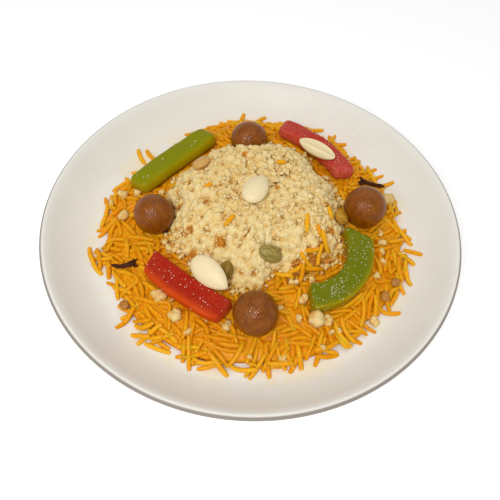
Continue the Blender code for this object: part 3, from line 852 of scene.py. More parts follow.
@dataclass(frozen=True)
class Seat:
    """Where a topping lies: the middle of its underside on the plane that fits the heap below it."""

    node: str
    x: float
    y: float
    heading: float
    length: float
    width: float
    thickness: float
    lean: float = 0.0
    raised: float = 0.0
    bend: float = math.inf  # the radius of the ring that a strip was cut from; its bulging side is +Y
    sink: float = 0.0006

    def bent(self, along: np.ndarray, across: np.ndarray) -> Pair:
        """A point of the straight piece, bent round the ring's middle.

        Args:
            along: how far along the straight piece it is.
            across: how far to its bulging side.

        Returns:
            The same after bending.
        """
        if math.isinf(self.bend):
            return along, across
        turn = along / self.bend
        reach = self.bend + across
        return reach * np.sin(turn), reach * np.cos(turn) - self.bend

    def straight(self, x: np.ndarray, y: np.ndarray) -> Pair:
        """How far along and across the piece a point of the plate is, seen from above.

        Args:
            x: how far to the right of the plate's middle each point is.
            y: how far behind it.

        Returns:
            How far along, and how far to its bulging side.
        """
        turn = math.radians(self.heading)
        ahead = (x - self.x) * math.cos(turn) + (y - self.y) * math.sin(turn)
        beside = (y - self.y) * math.cos(turn) - (x - self.x) * math.sin(turn)
        if math.isinf(self.bend):
            return ahead, beside
        reach = np.hypot(ahead, beside + self.bend)
        return np.arctan2(ahead, beside + self.bend) * self.bend, reach - self.bend

    def plane(self, heap: Heap) -> tuple[float, Vector]:
        """The height at its middle, and the normal, of the plane that it lies on.

        Args:
            heap: the heap's rules.

        Returns:
            The height and the normal.
        """
        turn = math.radians(self.heading)
        spots = []
        for along in np.linspace(-self.length / 2, self.length / 2, 7):
            for across in (-self.width / 2, 0.0, self.width / 2):
                ahead, beside = self.bent(along, across)
                x = ahead * math.cos(turn) - beside * math.sin(turn)
                y = ahead * math.sin(turn) + beside * math.cos(turn)
                spots.append((x, y, float(heap.top(self.x + x, self.y + y))))
        fitted = np.array(spots)
        sides = np.column_stack((fitted[:, :2], np.ones(len(fitted))))
        slope_x, slope_y, height = np.linalg.lstsq(sides, fitted[:, 2], rcond=None)[0]
        return float(height) - self.sink + self.raised, Vector((-slope_x, -slope_y, 1)).normalized()

    def frame(self, heap: Heap) -> Matrix:
        """Its place, from the middle of its underside.

        Args:
            heap: the heap's rules.

        Returns:
            The matrix that puts the piece in place.
        """
        height, normal = self.plane(heap)
        slope = Vector((0, 0, 1)).rotation_difference(normal).to_matrix().to_4x4()
        turned = Matrix.Rotation(math.radians(self.heading), 4, "Z")
        middle = Matrix.Translation((0, 0, self.thickness / 2))
        leant = middle @ Matrix.Rotation(math.radians(self.lean), 4, "X") @ middle.inverted()
        return Matrix.Translation((self.x, self.y, height + GAP)) @ slope @ turned @ leant

    def underside(self, x: np.ndarray, y: np.ndarray, heap: Heap, margin: float) -> np.ndarray:
        """The height of its underside over each point, and infinity beside it; a bent strip's is flat.

        Args:
            x: how far to the right of the plate's middle each point is.
            y: how far behind it.
            heap: the heap's rules.
            margin: how far beyond the piece it still counts.

        Returns:
            The heights.
        """
        height, normal = self.plane(heap)
        along, across = self.straight(x, y)
        ahead = along / (self.length / 2 + margin)
        beside = across / (self.width / 2 + margin)
        slope = ((x - self.x) * normal.x + (y - self.y) * normal.y) / normal.z
        level = height + GAP - slope
        if not math.isinf(self.bend):
            return np.where((np.abs(ahead) > 1) | (np.abs(beside) > 1), np.inf, level)
        inside = 1 - ahead**2 - beside**2
        rounded = level + self.thickness / 2 * (1 - np.sqrt(np.maximum(inside, 0)))
        return np.where(inside > 0, rounded, np.inf)


@dataclass(frozen=True)
class BallSeat:
    """Where a ball lies, pressed a little into the rice."""

    node: str
    x: float
    y: float
    radius: float
    sunk: float = 0.0016

    def middle(self, heap: Heap) -> Vector:
        """The ball's middle."""
        return Vector((self.x, self.y, float(heap.rice(self.x, self.y)) + self.radius - self.sunk))

    def underside(self, x: np.ndarray, y: np.ndarray, heap: Heap, margin: float) -> np.ndarray:
        """The height of its lower side over each point, and infinity beside it.

        Args:
            x: how far to the right of the plate's middle each point is.
            y: how far behind it.
            heap: the heap's rules.
            margin: how far beyond the ball it still counts.

        Returns:
            The heights.
        """
        reach = self.radius + margin
        inside = reach**2 - (x - self.x) ** 2 - (y - self.y) ** 2
        lower = self.middle(heap).z - np.sqrt(np.maximum(inside, 0))
        return np.where(inside > 0, lower, np.inf)


BALLS = (
    BallSeat("gulab_jamun_front", 0.0038, -0.0559, 0.0106, 0.0020),
    BallSeat("gulab_jamun_left", -0.0486, -0.0027, 0.0100),
    BallSeat("gulab_jamun_right", 0.0570, 0.0090, 0.0107, 0.0020),
    BallSeat("gulab_jamun_back", -0.0035, 0.0522, 0.0100, 0.0026),
)
STRIPS = (
    Seat("candied_green_left", -0.0430, 0.0405, 48, 0.0535, 0.0146, 0.0080, bend=0.4),
    Seat("candied_green_right", 0.0496, -0.0288, 241.5, 0.0535, 0.0130, 0.0080, bend=0.029),
    Seat("candied_red_right", 0.0348, 0.0552, -46.5, 0.0512, 0.0126, 0.0075, bend=0.058),
    Seat("candied_red_left", -0.0295, -0.0417, 145, 0.0497, 0.0130, 0.0085, bend=0.177),
)
ALMONDS = (
    Seat("almond_top", 0.0014, 0.0056, 68, 0.0184, 0.0124, 0.0070),
    Seat("almond_side", -0.0175, -0.0363, -41, 0.0223, 0.0126, 0.0072, lean=10, raised=0.0048),
    Seat("almond_half", 0.0318, 0.0440, 168, 0.0212, 0.0108, 0.0070, lean=-24, raised=0.0066),
)
RAISINS = (
    Seat("raisin_tan", -0.0260, 0.0262, 55, 0.0105, 0.0095, 0.0054, raised=-0.0008),
    Seat("raisin_green", 0.0085, -0.0242, -12, 0.0120, 0.0085, 0.0062, raised=-0.0016),
    Seat("raisin_golden", 0.0426, 0.0013, 5, 0.0096, 0.0078, 0.0058),
    Seat("raisin_olive", -0.0103, -0.0322, 70, 0.0094, 0.0072, 0.0056, raised=-0.0012),
    Seat("raisin_amber_back", 0.0715, -0.0270, 30, 0.0052, 0.0042, 0.0030),
    Seat("raisin_amber_front", 0.0658, -0.0356, 70, 0.0058, 0.0046, 0.0032),
    Seat("raisin_brown", -0.0583, -0.0466, 140, 0.0054, 0.0044, 0.0030),
)
# A clove's head is towards -X of its own length
CLOVES = (
    Seat("clove_left", -0.0608, -0.0256, 180, 0.0132, 0.0050, 0.0046),
    Seat("clove_right", 0.0632, 0.0343, 4, 0.0152, 0.0050, 0.0046),
)
TOPPINGS = BALLS + STRIPS + ALMONDS + RAISINS + CLOVES
# Raisins that the khoya was crumbled over, so that crumbs lie on their rims
BURIED = ("raisin_green", "raisin_olive", "raisin_tan")


class Relief:
    """The heights of what has been laid so far, on a square grid over the plate."""

    HALF = 0.094
    PITCH = 0.0005

    def __init__(self, heap: Heap) -> None:
        """Starts from the bare plate.

        Args:
            heap: the heap's rules.
        """
        steps = int(2 * self.HALF / self.PITCH) + 1
        line = np.linspace(-self.HALF, self.HALF, steps)
        self.x, self.y = np.meshgrid(line, line, indexing="ij")
        self.height = heap.plate.inside(np.hypot(self.x, self.y))
        self.ceiling = np.full_like(self.height, np.inf)
        for topping in TOPPINGS:
            margin = -0.0013 if topping.node in BURIED else GAP
            self.ceiling = np.minimum(self.ceiling, topping.underside(self.x, self.y, heap, margin))
        offsets = np.arange(-7, 8)
        self.near = np.array([(i, j) for i in offsets for j in offsets])

    def cell(self, x: np.ndarray, y: np.ndarray) -> Pair:
        """The grid's cell for each point.

        Args:
            x: how far to the right of the plate's middle each point is.
            y: how far behind it.

        Returns:
            The cells' rows and columns.
        """
        limit = len(self.height) - 1
        i = np.clip(np.rint((np.asarray(x) + self.HALF) / self.PITCH).astype(int), 0, limit)
        j = np.clip(np.rint((np.asarray(y) + self.HALF) / self.PITCH).astype(int), 0, limit)
        return i, j

    def at(self, x: np.ndarray, y: np.ndarray) -> np.ndarray:
        """The height at each point."""
        return self.height[self.cell(x, y)]

    def smooth(self, x: np.ndarray, y: np.ndarray) -> np.ndarray:
        """The height at each point, run evenly between the grid's points.

        Args:
            x: how far to the right of the plate's middle each point is.
            y: how far behind it.

        Returns:
            The heights.
        """
        across = (np.asarray(x) + self.HALF) / self.PITCH
        along = (np.asarray(y) + self.HALF) / self.PITCH
        i, j = across.astype(int), along.astype(int)
        right, ahead = across - i, along - j
        near = self.height[i, j] * (1 - ahead) + self.height[i, j + 1] * ahead
        far = self.height[i + 1, j] * (1 - ahead) + self.height[i + 1, j + 1] * ahead
        return near * (1 - right) + far * right

    def room(self, x: np.ndarray, y: np.ndarray) -> np.ndarray:
        """The height of the lowest topping over each point."""
        return self.ceiling[self.cell(x, y)]

    def add_balls(self, points: np.ndarray, radii: np.ndarray) -> None:
        """Raises the grid to the upper sides of balls at these points.

        Args:
            points: the balls' middles.
            radii: their radii.
        """
        i, j = self.cell(points[:, 0], points[:, 1])
        limit = len(self.height) - 1
        rows = np.clip(i[:, None] + self.near[:, 0], 0, limit)
        columns = np.clip(j[:, None] + self.near[:, 1], 0, limit)
        across = self.x[rows, columns] - points[:, :1]
        along = self.y[rows, columns] - points[:, 1:2]
        inside = radii[:, None] ** 2 - across**2 - along**2
        top = points[:, 2:3] + np.sqrt(np.maximum(inside, 0))
        keep = inside > 0
        np.maximum.at(self.height, (rows[keep], columns[keep]), top[keep])


@dataclass
class Plate:
    """The round stoneware plate, turned and glazed."""

    sizes: PlateSizes
    steps: int = 240

    def profile(self) -> np.ndarray:
        """The half section: along the floor, up the wall, round the lip, down to the foot and in.

        Returns:
            Its points, each with its distance from the middle and its height.
        """
        size = self.sizes
        points = [(reach, size.floor_height) for reach in (0.02, 0.045, 0.07, 0.079)]
        for reach in np.linspace(0.0815, 0.1005, 12):
            points.append((reach, float(size.inside(reach))))
        lip = (size.radius - size.lip, size.height - size.lip)
        for turn in np.linspace(128, -40, 13):
            bearing = math.radians(turn)
            points.append((lip[0] + size.lip * math.cos(bearing), lip[1] + size.lip * math.sin(bearing)))
        for reach in np.linspace(0.1015, 0.081, 10):
            points.append((reach, float(size.inside(reach)) - size.thickness))
        under = size.floor_height - size.thickness
        soft = 0.0004  # the worn edges of the foot
        points += [
            (0.075, under),
            (size.foot_outside + size.foot_draft + soft, under),
            (size.foot_outside + size.foot_draft, under - soft),
            (size.foot_outside, soft),
            (size.foot_outside - soft, 0.0),
            (size.foot_inside + soft, 0.0),
            (size.foot_inside, soft),
            (size.foot_inside - size.foot_draft, under - soft),
            (size.foot_inside - size.foot_draft - soft, under),
            (0.03, under),
        ]
        return np.array(points)

    def build(self) -> None:
        """Builds and dresses the plate."""
        profile = self.profile()
        bearings = np.linspace(0, math.tau, self.steps, endpoint=False)
        rings = np.empty((len(profile), self.steps, 3))
        rings[..., 0] = profile[:, :1] * np.cos(bearings)
        rings[..., 1] = profile[:, :1] * np.sin(bearings)
        rings[..., 2] = profile[:, 1:2]
        top = np.array((0, 0, self.sizes.floor_height))
        under = np.array((0, 0, self.sizes.floor_height - self.sizes.thickness))
        mesh = closed_by_rings("plate_glazed", rings, top, under)
        add_piece("plate_glazed", mesh, GlazedStoneware().make(self.sizes.radius), Slot.STONEWARE, "plate")


@dataclass(frozen=True)
class StrayGrain:
    """A grain that lies by itself: its middle, in millimetres, heading and length."""

    x: float
    y: float
    heading: float
    length: float
    curl: float = 0.0


@dataclass
class RiceHeap:
    """The saffron rice: a core, and the cooked grains that were dropped on it one by one."""

    heap: Heap
    relief: Relief
    grain_length: float = 0.0126
    grain_radius: float = 0.00125
    grain_count: int = 2380
    bedded_count: int = 1700  # grains that are only relief on the core
    bedded_depth: float = 0.0005  # how far the highest of them lie below the heap's surface
    core_depth: float = 0.0022  # and how far the core does between them
    core_inset: float = 0.0034
    core_rings: int = 110
    core_across: int = 620
    proud: float = 0.0011  # how far a grain may stand above the heap's surface
    knots: int = 7  # points along a grain
    sides: int = 6
    length_spread: tuple[float, float] = (0.72, 1.18)  # shortest and longest, as shares of the grain's length
    turn_spread: float = 0.75  # how far grains turn from their neighbours' way, in radians
    curl_spread: float = 0.55
    scallop: float = 0.0022  # how far the heap's edge waves in and out
    strays: tuple[StrayGrain, ...] = tuple(
        StrayGrain(*stray)
        for stray in (
            (72.6, 38.6, 19, 9.5, 0.2), (-63.5, 50.8, -61, 10.5, 0.5), (-58.6, 52.8, -51, 9.0, 0.4),
            (-79.6, -18.1, -66, 11.5, 0.4), (-76.0, -24.5, -52, 10.5, 0.6), (-75.5, -19.5, -74, 13.0, -0.5),
            (83.2, -6.2, -28, 10.0, -0.3), (80.0, 2.6, -51, 11.0, 0.3), (68.0, -42.5, -8, 11.5, 0.6),
            (-11.6, -75.5, -45, 12.0, 0.1), (-0.2, -76.4, -5, 12.5, 0.1), (-57.2, -54.0, 48, 12.0, 0.2),
            (-49.1, -62.1, -12, 9.5, 0.2), (-40.6, -67.4, -18, 13.0, 0.2), (37.1, -64.4, 27, 12.0, 0.4),
            (16.0, -73.4, 4, 12.0, 0.1), (78.8, -20.0, -81, 14.0, 0.7), (74.8, -19.4, -85, 13.0, 0.5),
            (47.0, -55.4, -57, 13.0, 1.2), (44.5, -57.8, -50, 13.0, 1.2),
        )
    )
    on_mound: tuple[StrayGrain, ...] = tuple(
        StrayGrain(*stray)
        for stray in (
            (-10.6, -12.2, 53, 7.0), (26.6, -9.6, -89, 7.5), (-22.2, 9.3, 35, 4.0), (13.7, 26.6, 11, 4.5),
            (38.6, 1.4, -73, 6.0), (32.8, -11.6, -66, 5.0), (22.0, -29.5, 35, 9.0, 0.5),
            (27.5, -25.5, -35, 9.0, 0.5), (30.5, -28.0, 12, 10.0, 0.6), (33.5, -21.0, 78, 9.0, -0.5),
            (36.0, -15.5, -62, 8.0, 0.3), (25.0, -31.5, 80, 8.0, 0.4), (29.5, -21.0, 20, 7.0, 0.2),
            (17.0, -32.5, -12, 8.0, 0.4),
        )
    )

    def heading(self, x: float, y: float, chance: float) -> float:
        """The way a grain points at a place: with its neighbours, but for chance."""
        swirl = 1.6 * math.sin(61 * x + 1.3) + 1.9 * math.cos(53 * y - 40 * x) + 1.2 * math.sin(97 * y + 2)
        return swirl + chance

    def bed_down(self, rng: np.random.Generator) -> None:
        """Raises the relief to the bottom of the gaps, and then by the grains that are pressed into the core.

        Args:
            rng: the source of chance.
        """
        heap, grid = self.heap, self.relief
        beyond = np.hypot(grid.x, grid.y) - around(heap.rice_reach, np.arctan2(grid.y, grid.x)) + self.core_inset
        outside = beyond > 0
        bare = grid.height.copy()
        grid.height = np.maximum(grid.height, heap.rice(grid.x, grid.y) - self.core_depth)
        bearings = rng.uniform(0, math.tau, self.bedded_count)
        reaches = np.sqrt(rng.uniform(0.12, 1, self.bedded_count)) * around(heap.rice_reach, bearings)
        flat_share = np.linspace(-1, 1, self.knots)  # one end lies lower than the other
        for bearing, reach in zip(bearings, reaches):
            x, y = float(reach * np.cos(bearing)), float(reach * np.sin(bearing))
            length = self.grain_length * rng.uniform(*self.length_spread)
            heading = self.heading(x, y, rng.normal(0, self.turn_spread))
            flat = self.path(x, y, heading, length, rng.normal(0, self.curl_spread))
            level = self.bedded_depth + self.grain_radius + rng.uniform(0, 0.0012)
            depth = level + rng.normal(0, 0.0003) * flat_share
            self.lay(flat, heap.rice(flat[:, 0], flat[:, 1]) - depth, 0.92 * self.grain_radius)
        grid.height = np.minimum(grid.height, np.maximum(grid.ceiling - GAP / 4, bare))
        grid.height[outside] = bare[outside]

    def build_core(self) -> None:
        """Builds the core from the relief."""
        heap, grid = self.heap, self.relief
        shares = np.concatenate((np.linspace(0.04, 0.36, 9), np.linspace(0.37, 1, self.core_rings)))
        bearings = np.linspace(0, math.tau, self.core_across, endpoint=False)
        radius = shares[:, None] * (around(heap.rice_reach, bearings) - self.core_inset)
        x, y = radius * np.cos(bearings), radius * np.sin(bearings)
        floor = heap.plate.inside(radius) + GAP / 2
        top = np.maximum(grid.smooth(x, y), floor + GAP)
        middle_ring = self.core_rings // 2
        under_x, under_y = x[[-1, middle_ring]], y[[-1, middle_ring]]
        under = np.dstack((under_x, under_y, heap.plate.inside(np.hypot(under_x, under_y)) + GAP / 2))
        rings = np.concatenate((np.dstack((x, y, top)), under))
        start, end = np.array((0, 0, top[0].mean())), np.array((0, 0, heap.plate.floor_height + GAP / 2))
        mesh = closed_by_rings("rice_core", rings, start, end)
        spots = np.array([vertex.co for vertex in mesh.vertices])
        over = spots[:, 2] - heap.rice(spots[:, 0], spots[:, 1])
        # Where the core lies below the heap's surface, between the grains, its tint is darker: painted shade in the
        # gaps
        store(mesh, "tint", np.clip(0.72 + 220 * over, 0, 1))
        add_piece("rice_core", mesh, SaffronRice("steeped_rice_core").make(), Slot.RICE, "rice")

    def path(self, x: float, y: float, heading: float, length: float, curl: float) -> np.ndarray:
        """A grain's points seen from above, evenly spaced along its curl.

        Args:
            x: where its middle is.
            y: and how far behind the plate's middle.
            heading: the way that it points.
            length: its length.
            curl: how far it turns from end to end.

        Returns:
            The points.
        """
        along = np.linspace(-0.5, 0.5, self.knots)
        turn = heading + curl * along
        step = length / (self.knots - 1)
        ahead = np.concatenate(([0], np.cumsum(np.cos((turn[1:] + turn[:-1]) / 2)) * step))
        beside = np.concatenate(([0], np.cumsum(np.sin((turn[1:] + turn[:-1]) / 2)) * step))
        return np.column_stack((ahead - ahead.mean() + x, beside - beside.mean() + y))

    def settle(self, flat: np.ndarray, softness: float) -> np.ndarray:
        """The heights at which a grain comes to rest: on the two points that carry it, sagging between them.

        Args:
            flat: the grain's points seen from above.
            softness: 0 for a stiff grain, 1 for one that follows all that is below it.

        Returns:
            The height of the grain's middle line at each point.
        """
        direction = np.gradient(flat, axis=0)
        beside = np.column_stack((-direction[:, 1], direction[:, 0]))
        beside *= 0.6 * self.grain_radius / np.linalg.norm(beside, axis=1, keepdims=True)
        spots = np.stack((flat - beside, flat, flat + beside))
        below = self.relief.at(spots[..., 0], spots[..., 1]).max(axis=0)
        steps = np.arange(self.knots)
        centre = (self.knots - 1) / 2
        best, line = -1.0, below
        for left in range(self.knots // 2):
            for right in range(self.knots - self.knots // 2, self.knots):
                slope = (below[right] - below[left]) / (right - left)
                level = below[left] + slope * (centre - left)
                if level > best:
                    best, line = level, below[left] + slope * (steps - left)
        sagged = line + softness * np.minimum(below - line, 0.0012)
        sagged = np.maximum(sagged, below - 0.0005)
        smooth = sagged.copy()
        smooth[1:-1] = (sagged[:-2] + 2 * sagged[1:-1] + sagged[2:]) / 4
        return smooth + 0.02 * self.grain_radius

    def girths(self, thickness: float) -> np.ndarray:
        """A grain's radius at each point: nearly even, drawn in to blunt points at its ends."""
        along = np.linspace(-1, 1, self.knots)
        return thickness * np.maximum((1 - np.abs(along) ** 6) ** 0.5, 0.72)

    def lay(self, flat: np.ndarray, heights: np.ndarray, thickness: float) -> np.ndarray:
        """Adds a settled grain to the relief and returns its points.

        Args:
            flat: the grain's points seen from above.
            heights: the height of each.
            thickness: its radius.

        Returns:
            The points in space.
        """
        points = np.column_stack((flat, heights))
        fine = np.linspace(0, self.knots - 1, 30)
        tube = np.column_stack([np.interp(fine, np.arange(self.knots), points[:, axis]) for axis in range(3)])
        self.relief.add_balls(tube, np.full(len(tube), thickness * 0.95))
        return points

    def drop_grains(self, rng: np.random.Generator) -> Laid:
        """Drops the grains one by one where the heap is lowest.

        Args:
            rng: the source of chance.

        Returns:
            For each grain its points, its girths and its tint.
        """
        heap, relief = self.heap, self.relief
        lines, girths, tints = [], [], []
        tries = 0
        while len(lines) < self.grain_count and tries < 9 * self.grain_count:
            tries += 1
            bearing = rng.uniform(0, math.tau, 7)
            scallops = self.scallop * np.sin(23 * bearing + 2 * np.sin(5 * bearing))
            limit = around(heap.rice_reach, bearing) - self.scallop + scallops
            radius = np.sqrt(rng.uniform(0.030**2, 1, 7) * limit**2)
            x, y = radius * np.cos(bearing), radius * np.sin(bearing)
            lack = heap.rice(x, y) - relief.at(x, y) - 0.004 * (heap.khoya_share(x, y) < 0.8)
            best = int(np.argmax(lack + rng.uniform(0, 0.0006, 7)))
            x0, y0 = float(x[best]), float(y[best])
            if heap.khoya_share(x0, y0) < 0.84:
                continue
            heading = self.heading(x0, y0, rng.normal(0, self.turn_spread))
            if heap.rice_share(np.array(x0), np.array(y0)) > 0.9 and rng.random() < 0.6:
                heading = math.atan2(y0, x0) + math.pi / 2 + rng.normal(0, 0.5)  # along the heap's edge
            length = self.grain_length * rng.uniform(*self.length_spread)
            thickness = self.grain_radius * rng.uniform(0.86, 1.08)
            flat = self.path(x0, y0, heading, length, rng.normal(0, self.curl_spread))
            heights = self.settle(flat, rng.uniform(0.35, 0.9))
            top = heights + thickness
            if (top > relief.room(flat[:, 0], flat[:, 1]) + 0.0002).any():
                continue
            over = (top - heap.rice(flat[:, 0], flat[:, 1])).mean()
            if over > self.proud or (heights.max() - heights.min()) > 0.006:
                continue
            lines.append(self.lay(flat, heights, thickness))
            girths.append(self.girths(thickness))
            # Grains that stand proud are tinted lighter and low ones darker, painted light and shade; those at the
            # heap's edge a little lighter
            outer = 0.18 * float(smoothstep(heap.rice_share(np.array(x0), np.array(y0)), 0.86, 1.0))
            tints.append(float(np.clip(0.44 + outer + over * 130 + rng.normal(0, 0.10), 0, 1)))
        log.info("%d grains laid in %d tries", len(lines), tries)
        return lines, girths, tints

    def lay_strays(self, strays: Sequence[StrayGrain]) -> Laid:
        """Lays the grains that lie by themselves.

        Args:
            strays: the grains.

        Returns:
            For each grain its points, its girths and its tint.
        """
        lines, girths, tints = [], [], []
        for number, stray in enumerate(strays):
            middle = stray.x * MILLIMETRE, stray.y * MILLIMETRE
            flat = self.path(*middle, math.radians(stray.heading), stray.length * MILLIMETRE, stray.curl)
            heights = self.settle(flat, 0.8)
            lines.append(self.lay(flat, heights, self.grain_radius))
            girths.append(self.girths(self.grain_radius))
            tints.append(0.72 + 0.2 * math.sin(number * 2.1))
        return lines, girths, tints

    def dress(self, name: str, laid: Laid, finish: Material) -> None:
        """Turns laid grains into one piece.

        Args:
            name: the piece's name.
            laid: for each grain its points, its girths and its tint.
            finish: the material.
        """
        lines, girths, tints = laid
        points = np.vstack(lines)
        edges = [
            (line * self.knots + knot, line * self.knots + knot + 1)
            for line in range(len(lines))
            for knot in range(self.knots - 1)
        ]
        source = bpy.data.meshes.new(name + "_lines")
        source.from_pydata(points.tolist(), edges, [])
        store(source, "girth", np.concatenate(girths))
        store(source, "tint", np.repeat(tints, self.knots))
        mesh = baked(source, grain_tree(), {"Sides": self.sides, "Finish": finish})
        add_piece(name, mesh, None, Slot.RICE)

    def build(self) -> None:
        """Builds the core and the grains, beside the ones that lie on the mound."""
        rng = np.random.default_rng(SEED)
        self.bed_down(rng)
        self.build_core()
        dropped = self.drop_grains(rng)
        strays = self.lay_strays(self.strays)
        self.dress("rice_grains", tuple(a + b for a, b in zip(dropped, strays)), SaffronRice().make())

    def build_on_mound(self) -> None:
        """Builds the grains that lie on the khoya, once that is laid."""
        finish = SaffronRice("saffron_rice_on_khoya").make()
        self.dress("rice_grains_on_khoya", self.lay_strays(self.on_mound), finish)


@dataclass
class KhoyaMound:
    """The crumbled khoya: a core with the relief of its clumps, and the crumbs that were strewn on it."""

    heap: Heap
    relief: Relief
    finish: Material
    core_depth: float = 0.0030  # how deep the gaps between the clumps are
    core_floor: float = 0.0022  # how far the core reaches down into the rice
    clump_count: int = 760
    clump_radii: tuple[float, float] = (0.0013, 0.0031)
    crumb_count: int = 680
    fine_count: int = 1500
    rings: int = 130
    across: int = 560
    grit: tuple[tuple[float, float], ...] = ((560, 0.00042), (1350, 0.00036), (2500, 0.00024))  # fineness and depth
    # Where rice shows through the khoya: middle and radius in millimetres
    thin: tuple[tuple[float, float, float], ...] = (
        (23.5, -29.0, 4.6), (31.0, -26.0, 4.6), (35.5, -18.5, 4.2), (28.5, -21.5, 2.6), (16.0, -33.5, 3.2),
        (-30.0, -12.5, 2.2), (39.0, -8.0, 2.6), (37.5, 6.0, 2.2), (-36.5, 4.0, 2.0), (-27.5, -24.0, 2.4),
        (12.0, 10.0, 1.6), (-14.0, -20.0, 1.6), (24.0, -3.0, 1.6), (-5.0, 33.0, 2.0), (-33.0, 16.0, 2.0),
    )

    def thinness(self, x: np.ndarray, y: np.ndarray) -> np.ndarray:
        """How far rice shows through the khoya at each point, from 0 to 1.

        Args:
            x: how far to the right of the plate's middle each point is.
            y: how far behind it.

        Returns:
            The share at each point.
        """
        share = np.zeros_like(np.asarray(x, float))
        for middle_x, middle_y, radius in self.thin:
            distance = np.hypot(x - middle_x * MILLIMETRE, y - middle_y * MILLIMETRE) / (radius * MILLIMETRE)
            share = np.maximum(share, 1 - smoothstep(distance, 0.6, 1.15))
        return share

    def reach(self, bearing: np.ndarray) -> np.ndarray:
        """How far the mound reaches at a bearing from its middle, with the bays of a crumbled edge."""
        bays = 0.022 * np.sin(11 * bearing + 1) + 0.02 * np.sin(17 * bearing + 2.2) + 0.014 * np.sin(31 * bearing)
        return around(self.heap.khoya_reach, bearing) * (0.985 + bays)

    def place(self, bearing: np.ndarray, share: np.ndarray) -> Pair:
        """The point at a share of the mound's reach."""
        distance = share * self.reach(bearing)
        return self.heap.khoya_x + distance * np.cos(bearing), self.heap.khoya_y + distance * np.sin(bearing)

    def heap_up(self, rng: np.random.Generator) -> None:
        """Raises the relief to the bottom of the gaps, and then by rounded clumps where it is lowest.

        Args:
            rng: the source of chance.
        """
        heap, grid = self.heap, self.relief
        bearing = np.arctan2(grid.y - heap.khoya_y, grid.x - heap.khoya_x)
        distance = np.hypot(grid.x - heap.khoya_x, grid.y - heap.khoya_y)
        inside = distance < 0.98 * self.reach(bearing)
        level = heap.khoya(grid.x, grid.y) - self.core_depth + 0.0006 * self.thinness(grid.x, grid.y)
        grid.height[inside] = np.maximum(grid.height, level)[inside]
        for _ in range(self.clump_count):
            x, y = self.place(rng.uniform(0, math.tau, 6), np.sqrt(rng.uniform(0, 0.97, 6)))
            lack = heap.khoya(x, y) - grid.at(x, y) - 0.02 * self.thinness(x, y)
            best = int(np.argmax(lack + rng.uniform(0, 0.0016, 6)))
            radius = rng.uniform(*self.clump_radii)
            proud = float(np.clip(rng.normal(-0.0002, 0.0006), -0.0014, 0.0009))
            top = float(heap.khoya(x[best], y[best])) + proud
            grid.add_balls(np.array([(x[best], y[best], top - radius)]), np.array([radius]))

    def build_core(self) -> None:
        """Builds the core from the relief, roughened as crumbled milk solids are."""
        heap, grid = self.heap, self.relief
        bearings = np.linspace(0, math.tau, self.across, endpoint=False)
        x, y = self.place(bearings[None, :], np.linspace(0.01, 1, self.rings)[:, None])
        floor = heap.rice(x, y) - self.core_floor
        top = np.maximum(grid.smooth(x, y), floor + GAP)
        points = np.dstack((x, y, top)).reshape(-1, 3)
        noise.seed_set(SEED)  # noise vectors start from the clock without it
        for point in points:
            point += sum((noise.noise_vector(Vector(point) * waves) * depth for waves, depth in self.grit), Vector())
        rings = points.reshape(self.rings, self.across, 3)
        ceiling = grid.room(rings[..., 0], rings[..., 1]) - GAP / 4
        rings[..., 2] = np.minimum(rings[..., 2], ceiling)
        under_x, under_y = x[[-1, self.rings // 2]], y[[-1, self.rings // 2]]
        under = np.dstack((under_x, under_y, heap.rice(under_x, under_y) - self.core_floor))
        middle = np.array((heap.khoya_x, heap.khoya_y))
        low = np.append(middle, float(heap.rice(*middle)) - self.core_floor)
        high = np.append(middle, rings[0, :, 2].mean())
        mesh = closed_by_rings("khoya_core", np.concatenate((rings, under)), high, low)
        spots = np.array([vertex.co for vertex in mesh.vertices])
        proud = spots[:, 2] - heap.khoya(spots[:, 0], spots[:, 1])
        store(mesh, "tint", self.tints(spots[:, 0], spots[:, 1], proud))
        add_piece("khoya_core", mesh, self.finish, Slot.KHOYA, "khoya")

    def tints(self, x: np.ndarray, y: np.ndarray, proud: np.ndarray) -> np.ndarray:
        """How pale the khoya is, from 0 orange to 1 pale: orange in its gaps, as the syrup's stain and as painted
        shade, and at its edge and in patches, as the stain; paler where it stands proud, as painted light.

        Args:
            x: how far to the right of the plate's middle each point is.
            y: how far behind it.
            proud: how far it stands above the bare mound.

        Returns:
            The tint of each point.
        """
        patches = 0.10 * np.sin(x * 410 + 2 * np.sin(y * 230)) * np.sin(y * 350 + 1.5 * np.cos(x * 290))
        edge = 0.22 * smoothstep(self.heap.khoya_share(x, y), 0.86, 1.04)
        # Standing proud makes it paler and lying low makes it more orange: painted light and shade
        return np.clip(0.72 + 260 * np.minimum(proud, 0.0006) + patches - edge - 0.6 * self.thinness(x, y), 0, 1)

